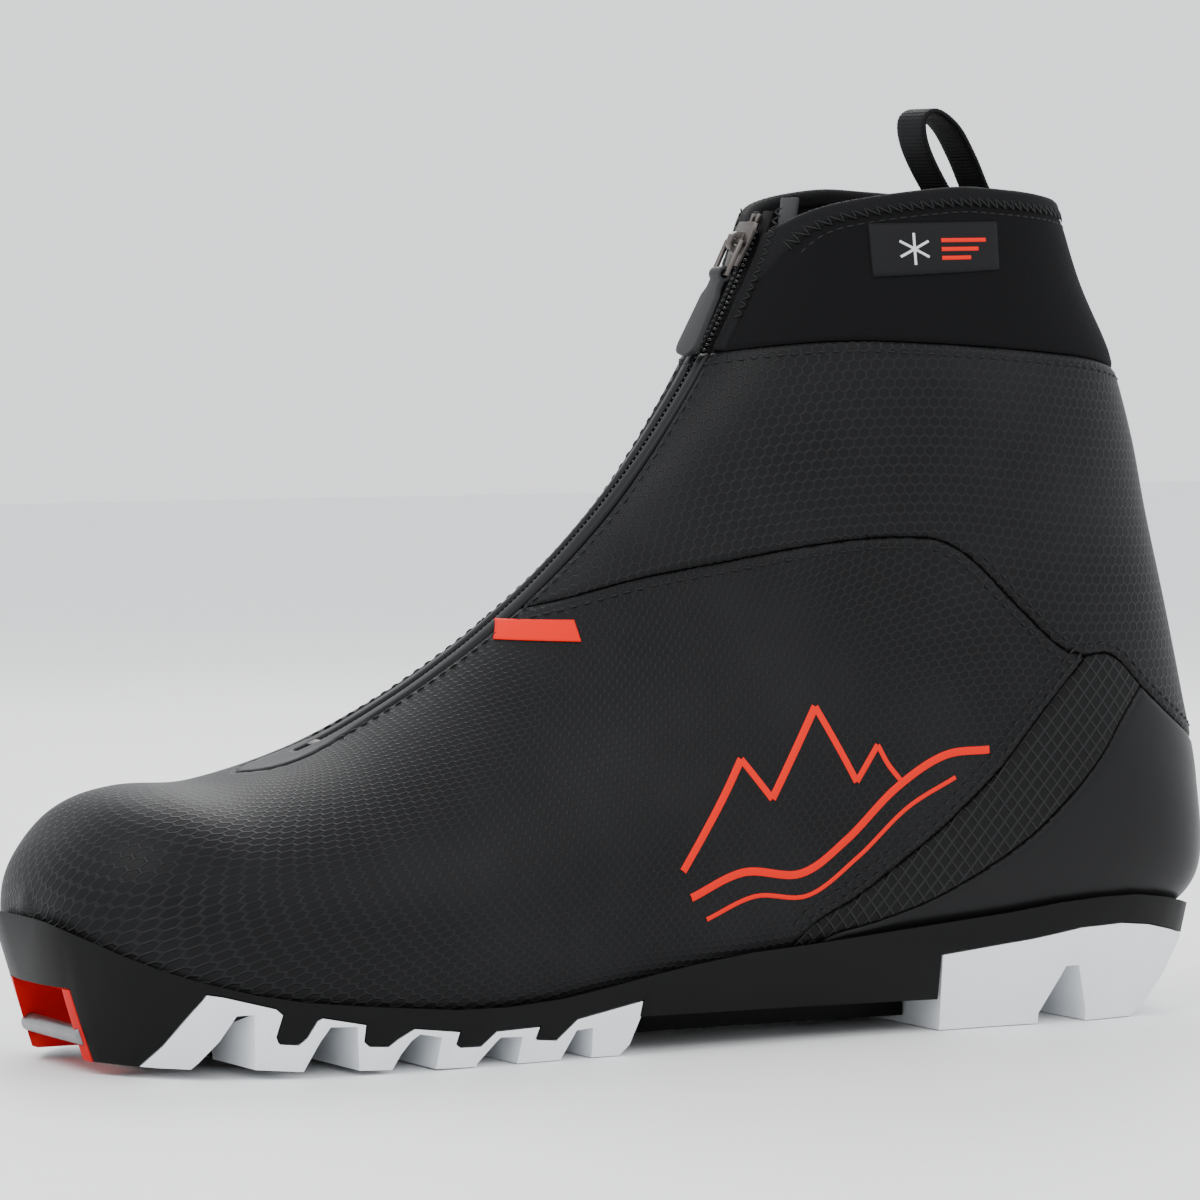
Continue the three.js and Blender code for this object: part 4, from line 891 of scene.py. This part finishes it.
def edgeBand(u, a):
    p = formPoint(u, a)
    x, y, z = p.T
    fromRim = -lineSide(rimLine, x, z)
    outerSide = np.minimum.reduce([fromRim, slotEdge(0)(x, y, z), lineSide(collarSeam, x, z)])
    innerSide = np.minimum(fromRim - wide, slotEdge(wide)(x, y, z))
    return np.minimum(outerSide, -innerSide)


edging = shell("collar_edging", edgeBand, "edging",
               lambda f: collarSize["proud"] - rounded(f, collarSize["roll"]),
               lambda f: -collarSize["thick"] - collarSize["proud"] + rounded(f, collarSize["roll"]),
               np.linspace(0.84, 1, 150), np.linspace(-np.pi, np.pi, 420, endpoint=False), around=True)
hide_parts("collar_binding")
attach(edging, "boot")
print("collar done")


# inner boot, tongue and footbed
# throat: half width of the slit over the instep, from the arc place foot upwards
liner = dict(out=-1.6, thick=3.0, room=12.0, throat=15.0, foot=28.0, side=1.4, roll=1.2)


def throatField(u, a):
    p = formPoint(u, a)
    x, y, _ = p.T
    foot = arcPoint(liner["foot"])[0] - 5
    overInstep = (x > foot) & (np.abs(a) < liner["side"])
    return np.where(overInstep, np.abs(y) - liner["throat"], 40)


innerBoot = shell("inner_boot_padded", throatField, "lining",
                  lambda f: liner["out"] - rounded(f, liner["roll"]),
                  lambda f: liner["out"] - liner["thick"] + rounded(f, liner["roll"]),
                  np.linspace(0.01, 22 / 26, 120), np.linspace(-np.pi, np.pi, 120, endpoint=False),
                  room=liner["room"], around=True, pattern=False)
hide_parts("inner_boot")
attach(innerBoot, "boot")


# low and high: arc places of both ends; steep: fall of the end edges per section share
tongueSize = dict(half=13.6, low=31.4, high=68.0, steep=600, roll=1.3)


def tongueField(u, a):
    p = formPoint(u, a)
    ends = np.minimum(u - sectionOfArc(tongueSize["low"]), sectionOfArc(tongueSize["high"]) - u)
    return np.minimum(tongueSize["half"] - np.abs(p[:, 1]), ends * tongueSize["steep"])


tongue = shell("tongue_padded", tongueField, "lining",
               lambda f: liner["out"] - rounded(f, tongueSize["roll"]),
               lambda f: liner["out"] - liner["thick"] + rounded(f, tongueSize["roll"]),
               np.linspace(0.3, 0.99, 180), np.linspace(-0.9, 0.9, 60), room=liner["room"])
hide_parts("tongue")
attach(tongue, "boot")
footbed = softened("footbed", "lining", 0.5, 2, 50)
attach(footbed, "boot")
print("inner boot done")


# seams and stitches
def sewing():
    parts = []
    for side in (-1, 1):
        lines = [(shifted(midFront, -2.3)[3:-1], 0.12), (shifted(midBack, 2.2)[:-3], 0.18),
                 (shifted(collarSeam, -2.4)[2:-2], 0.18), (shifted(bandInner, -1.8)[3:-4], 0.1),
                 (shifted(bandInner, -4.1)[3:-4], 0.1), (shifted(midFront, 2.2)[-16:], 0.18)]
        for line, out in lines:
            points, normals = sidePath(line, side, out)
            parts += stitches(points, normals)
        degrees = np.linspace(24.5, 59.5, 120)
        u = sectionOfArc(degrees)
        points, normals = surfacePath(u, angleAt(u, np.full_like(u, side * 6.6)), 0.15)
        parts += stitches(points, normals, 3.3, 2.5, 0.5, 0.4)
    piece = joinMeshes("panel_stitches", parts, "thread")
    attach(piece, "boot")


# zigzag stitches below the rolled edge of the collar
def overlock():
    parts = []
    for side in (-1, 1):
        inner = shifted(rimLine, -(wide + 0.2))[6:-2]
        outer = shifted(rimLine, -(wide - 2.0))[6:-2]
        a, b = resampled(inner, 1.15), resampled(outer, 1.15)
        n = min(len(a), len(b))
        zigzag = np.where((np.arange(n) % 2 == 0)[:, None], a[:n], b[:n])
        for k in range(n - 1):
            line = np.linspace(zigzag[k], zigzag[k + 1], 4)
            points, normals = sidePath(line, side, 0.42)
            parts.append(tube(points, normals, 0.5, 0.45))
        run = sidePath(shifted(rimLine, -(wide + 1.4))[6:-2], side, 0.22)
        parts += stitches(*run, 2.6, 2.0, 0.5, 0.45)
        degrees = np.linspace(61.5, 69, 26)
        u = sectionOfArc(degrees)
        for k in range(len(u) - 1):
            ys = (wide + 5.2, wide + 3.2) if k % 2 else (wide + 3.2, wide + 5.2)
            between = np.linspace(u[k], u[k + 1], 4)
            points, normals = surfacePath(between, angleAt(between, side * np.linspace(*ys, 4)), 0.42)
            parts.append(tube(points, normals, 0.5, 0.45))
    piece = joinMeshes("collar_overlock", parts, "thread")
    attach(piece, "boot")


sewing()
overlock()
print("stitches done")


# prints: a plain ridge line and two tracks, with no letters
def prints():
    strokes = [
        (smoothLine([(147, 40), (158, 55), (164, 64)], 20), 0.9),
        (np.linspace((164, 64), (171, 55), 12), 0.8),
        (np.linspace((171, 55), (184, 75), 18), 0.9),
        (np.linspace((184, 75), (193, 58), 16), 0.8),
        (np.linspace((193, 58), (199, 66), 10), 0.7),
        (smoothLine([(199, 66), (201.4, 61.6), (204.4, 58)], 12), 0.6),
        (smoothLine([(149, 34), (163, 39), (178, 38), (190, 45), (203, 56), (216, 63), (228, 64)], 60), 0.9),
        (smoothLine([(153, 29), (166, 33.5), (180, 33), (193, 41), (206, 51.5), (219, 58)], 60), 0.5),
    ]
    parts = []
    for line, half in strokes:
        clear = lineSide(bandFront, line[:, 0], line[:, 1]) > 5.4    # it stops before the band's stitches
        parts.append(ribbonOn(line[clear], half, 0.14))
    piece = joinMeshes("side_print", parts, "print")
    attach(piece, "boot")


prints()


# patches on the surface
def patch(name, corners, out, thick, look, node, rows=12, columns=40):
    a, b, c, d = (np.array(p, float) for p in corners)
    h, v = np.meshgrid(np.linspace(0, 1, columns), np.linspace(0, 1, rows))
    flat = ((a[:, None, None] * (1 - h) + b[:, None, None] * h) * (1 - v)
            + (d[:, None, None] * (1 - h) + c[:, None, None] * h) * v)
    u, angle = locate(flat[0].ravel(), flat[1].ravel())
    edge = np.minimum(np.minimum(h, 1 - h) * columns, np.minimum(v, 1 - v) * rows).ravel()
    top = onForm(u, -angle, out + thick * (0.45 + 0.55 * smoothstep(edge, 0, 1.5)))
    low = onForm(u, -angle, out)
    n, m = rows, columns
    faces = []
    for i in range(n - 1):
        for j in range(m - 1):
            q = (i * m + j, i * m + j + 1, (i + 1) * m + j + 1, (i + 1) * m + j)
            faces.append(q)
            faces.append(tuple(n * m + t for t in reversed(q)))
    ring = ([j for j in range(m)] + [i * m + m - 1 for i in range(1, n)]
            + [(n - 1) * m + j for j in range(m - 2, -1, -1)] + [i * m for i in range(n - 2, 0, -1)])
    for p, q in zip(ring, ring[1:] + ring[:1]):
        faces.append((q, p, n * m + p, n * m + q))
    piece = newObject(name, np.vstack([top, low]), faces)
    turnOutward(piece)
    dress(piece, look)
    if node:
        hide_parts(node)
    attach(piece, "boot")
    return piece


patch("woven_label", [(232, 173), (202.3, 171.3), (202.5, 183.4), (232, 184)], 0.35, 0.5,
      "label", "collar_label")
patch("printed_tag", [(132.4, 90.2), (116.5, 90.6), (119.8, 94.9), (132.6, 94.9)], 0.1, 0.25,
      "print", "side_tag")


# a plain frost star and a red bar
def labelMark():
    parts = []
    for k in range(3):
        t = math.radians(30 + 60 * k)
        reach = np.array([math.cos(t), math.sin(t)]) * 3.6
        middle = np.array([211.5, 177.6])
        parts.append(ribbonOn(np.linspace(middle - reach, middle + reach, 9), 0.28, 0.98))
    piece = joinMeshes("label_star", parts, "paleThread")
    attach(piece, "boot")
    bars = [ribbonOn(np.linspace((217.5, z), (228.5 - 2 * k, z + 0.15), 14), 0.45, 0.98)
            for k, z in enumerate((179.6, 177.6, 175.6))]
    piece = joinMeshes("label_bars", bars, "print")
    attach(piece, "boot")


labelMark()
print("prints done")

backStrip = softened("back_strip", "tape", 0.3, 2, 40)
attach(backStrip, "boot")


# zip
def zipFrame(degrees):
    t = math.radians(degrees)
    return (np.array([*arcPoint(degrees)])[[0, 0, 1]] * np.array([1, 0, 1]),
            np.array([math.cos(t), 0, math.sin(t)]), np.array([-math.sin(t), 0, math.cos(t)]))


# two rows of coil turns along the instep arc
def zipTeeth():
    tooth = dict(foot=24.4, head=67.8, pitch=1.35, out=-1.2)
    for side, word in ((-1, "lateral"), (1, "medial")):
        parts = []
        count = int(math.radians(tooth["head"] - tooth["foot"]) * arc["radius"] / tooth["pitch"])
        for k in range(count):
            degrees = tooth["foot"] + (tooth["head"] - tooth["foot"]) * (k + (0.5 if side > 0 else 0)) / count
            origin, along, normal = zipFrame(degrees)
            across = np.array([0, side, 0])
            path = np.array([origin + across * y + normal * (tooth["out"] + h) for y, h in
                             ((0.62, -0.25), (0.72, 0.1), (1.1, 0.3), (1.6, 0.12), (1.75, -0.25))])
            parts.append(tube(path, np.tile(along, (5, 1)), 0.62, 0.8, 5))
        piece = joinMeshes("zip_teeth_" + word, parts, "teeth")
        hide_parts("zip_coil_" + word)
        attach(piece, "boot")
        tape = softened("zip_tape_" + word, "tape", 0.1, 1, 40)
        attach(tape, "boot")
        stop = softened("zip_top_stop_" + word, "gunmetal", 0.15)
        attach(stop, "boot")
    stop = softened("zip_bottom_stop", "gunmetal", 0.2)
    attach(stop, "boot")


zipTeeth()
slider = softened("zip_slider", "gunmetal", 0.22, 3, 30)
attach(slider, "slider")
link = softened("zip_pull_link", "gunmetal", 0.28, 3, 30)
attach(link, "puller")
pullTab = softened("zip_pull_tab", "greyRubber", 0.3, 3, 30)
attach(pullTab, "puller")
print("zip done")


# heel loop: ribbed webbing
def heelLoop():
    band = dict(half=6.0, thick=1.3, rib=0.85, lift=0.12, behind=1.4, step=0.21)
    wall = collarSize["thick"] + band["behind"] + band["thick"] / 2

    def backAt(z):
        u, _ = locate(np.array([262.0]), np.array([float(z)]))
        return float(formPoint(u, np.array([np.pi]))[0, 0]) - wall

    centre = smoothLine([(backAt(172) - 0.2, 171), (backAt(177), 177), (252, 184.5), (247, 191), (243, 199),
                         (238.5, 206), (233, 209.6), (229.5, 207.5), (230.5, 201), (236, 191.5), (242, 185),
                         (248, 180.5), (backAt(175) - 5.5, 177), (backAt(171) - 2.2, 171)], 400)
    centre = resampled(centre, band["step"])
    step = np.gradient(centre, axis=0)
    step /= np.linalg.norm(step, axis=1, keepdims=True)
    normal = np.stack([-step[:, 1], step[:, 0]], 1)
    along = np.arange(len(centre)) * band["step"]
    rib = band["lift"] * np.sqrt(np.abs(np.sin(math.pi * along / band["rib"])))
    h, t = band["half"], band["thick"] / 2
    upper = [(-h, 0.3), (-h + 0.25, 0.85), (-h + 0.9, 1), (-h / 2, 1), (0, 1), (h / 2, 1), (h - 0.9, 1),
             (h - 0.25, 0.85), (h, 0.3)]
    profile = upper + [(y, -share) for y, share in reversed(upper)]
    rings = []
    for y, share in profile:
        level = share * (t - band["lift"] + rib * abs(share))
        rings.append(np.stack([centre[:, 0] + normal[:, 0] * level, np.full(len(centre), y),
                               centre[:, 1] + normal[:, 1] * level], 1))
    points = np.stack(rings, 1)
    n, m = points.shape[:2]
    faces = [(i * m + j, i * m + (j + 1) % m, (i + 1) * m + (j + 1) % m, (i + 1) * m + j)
             for i in range(n - 1) for j in range(m)]
    faces += [tuple(range(m - 1, -1, -1)), tuple(range((n - 1) * m, n * m))]
    piece = newObject("heel_loop_webbing", points.reshape(-1, 3), faces)
    turnOutward(piece)
    dress(piece, "webbing")
    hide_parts("pull_loop")
    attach(piece, "heel_loop")


heelLoop()
print("heel loop done")

# laces, lock and trim inside
for node, look, width in [("lace_lock_body", "lockPlastic", 0.8), ("tongue_tab", "greyRubber", 0.35),
                          ("eyestay_lateral", "tape", 0.2), ("eyestay_medial", "tape", 0.2),
                          ("lasting_board", "board", 0.2)]:
    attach(softened(node, look, width), "boot")
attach(softened("lace_lock_button", "redPlastic", 0.5), "lock_button")
for k in range(1, 11):
    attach(softened("lace_loop_%d" % k, "webbing", 0.1, 1), "boot")
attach(softened("lace", "braid", 0, name="lace_braid"), "boot")

# sole
for node, look, width, angle in [("outsole", "rubber", 0.5, 32),
                                 ("forefoot_tread_lateral", "tread", 0.55, 28),
                                 ("forefoot_tread_medial", "tread", 0.55, 28),
                                 ("heel_tread", "tread", 0.6, 28),
                                 ("toe_cassette", "redPlastic", 0.4, 32), ("toe_bar", "steel", 0.15, 60),
                                 ("shank", "shank", 0.2, 35)]:
    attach(softened(node, look, width, 3, angle), "boot")
print("sole done")
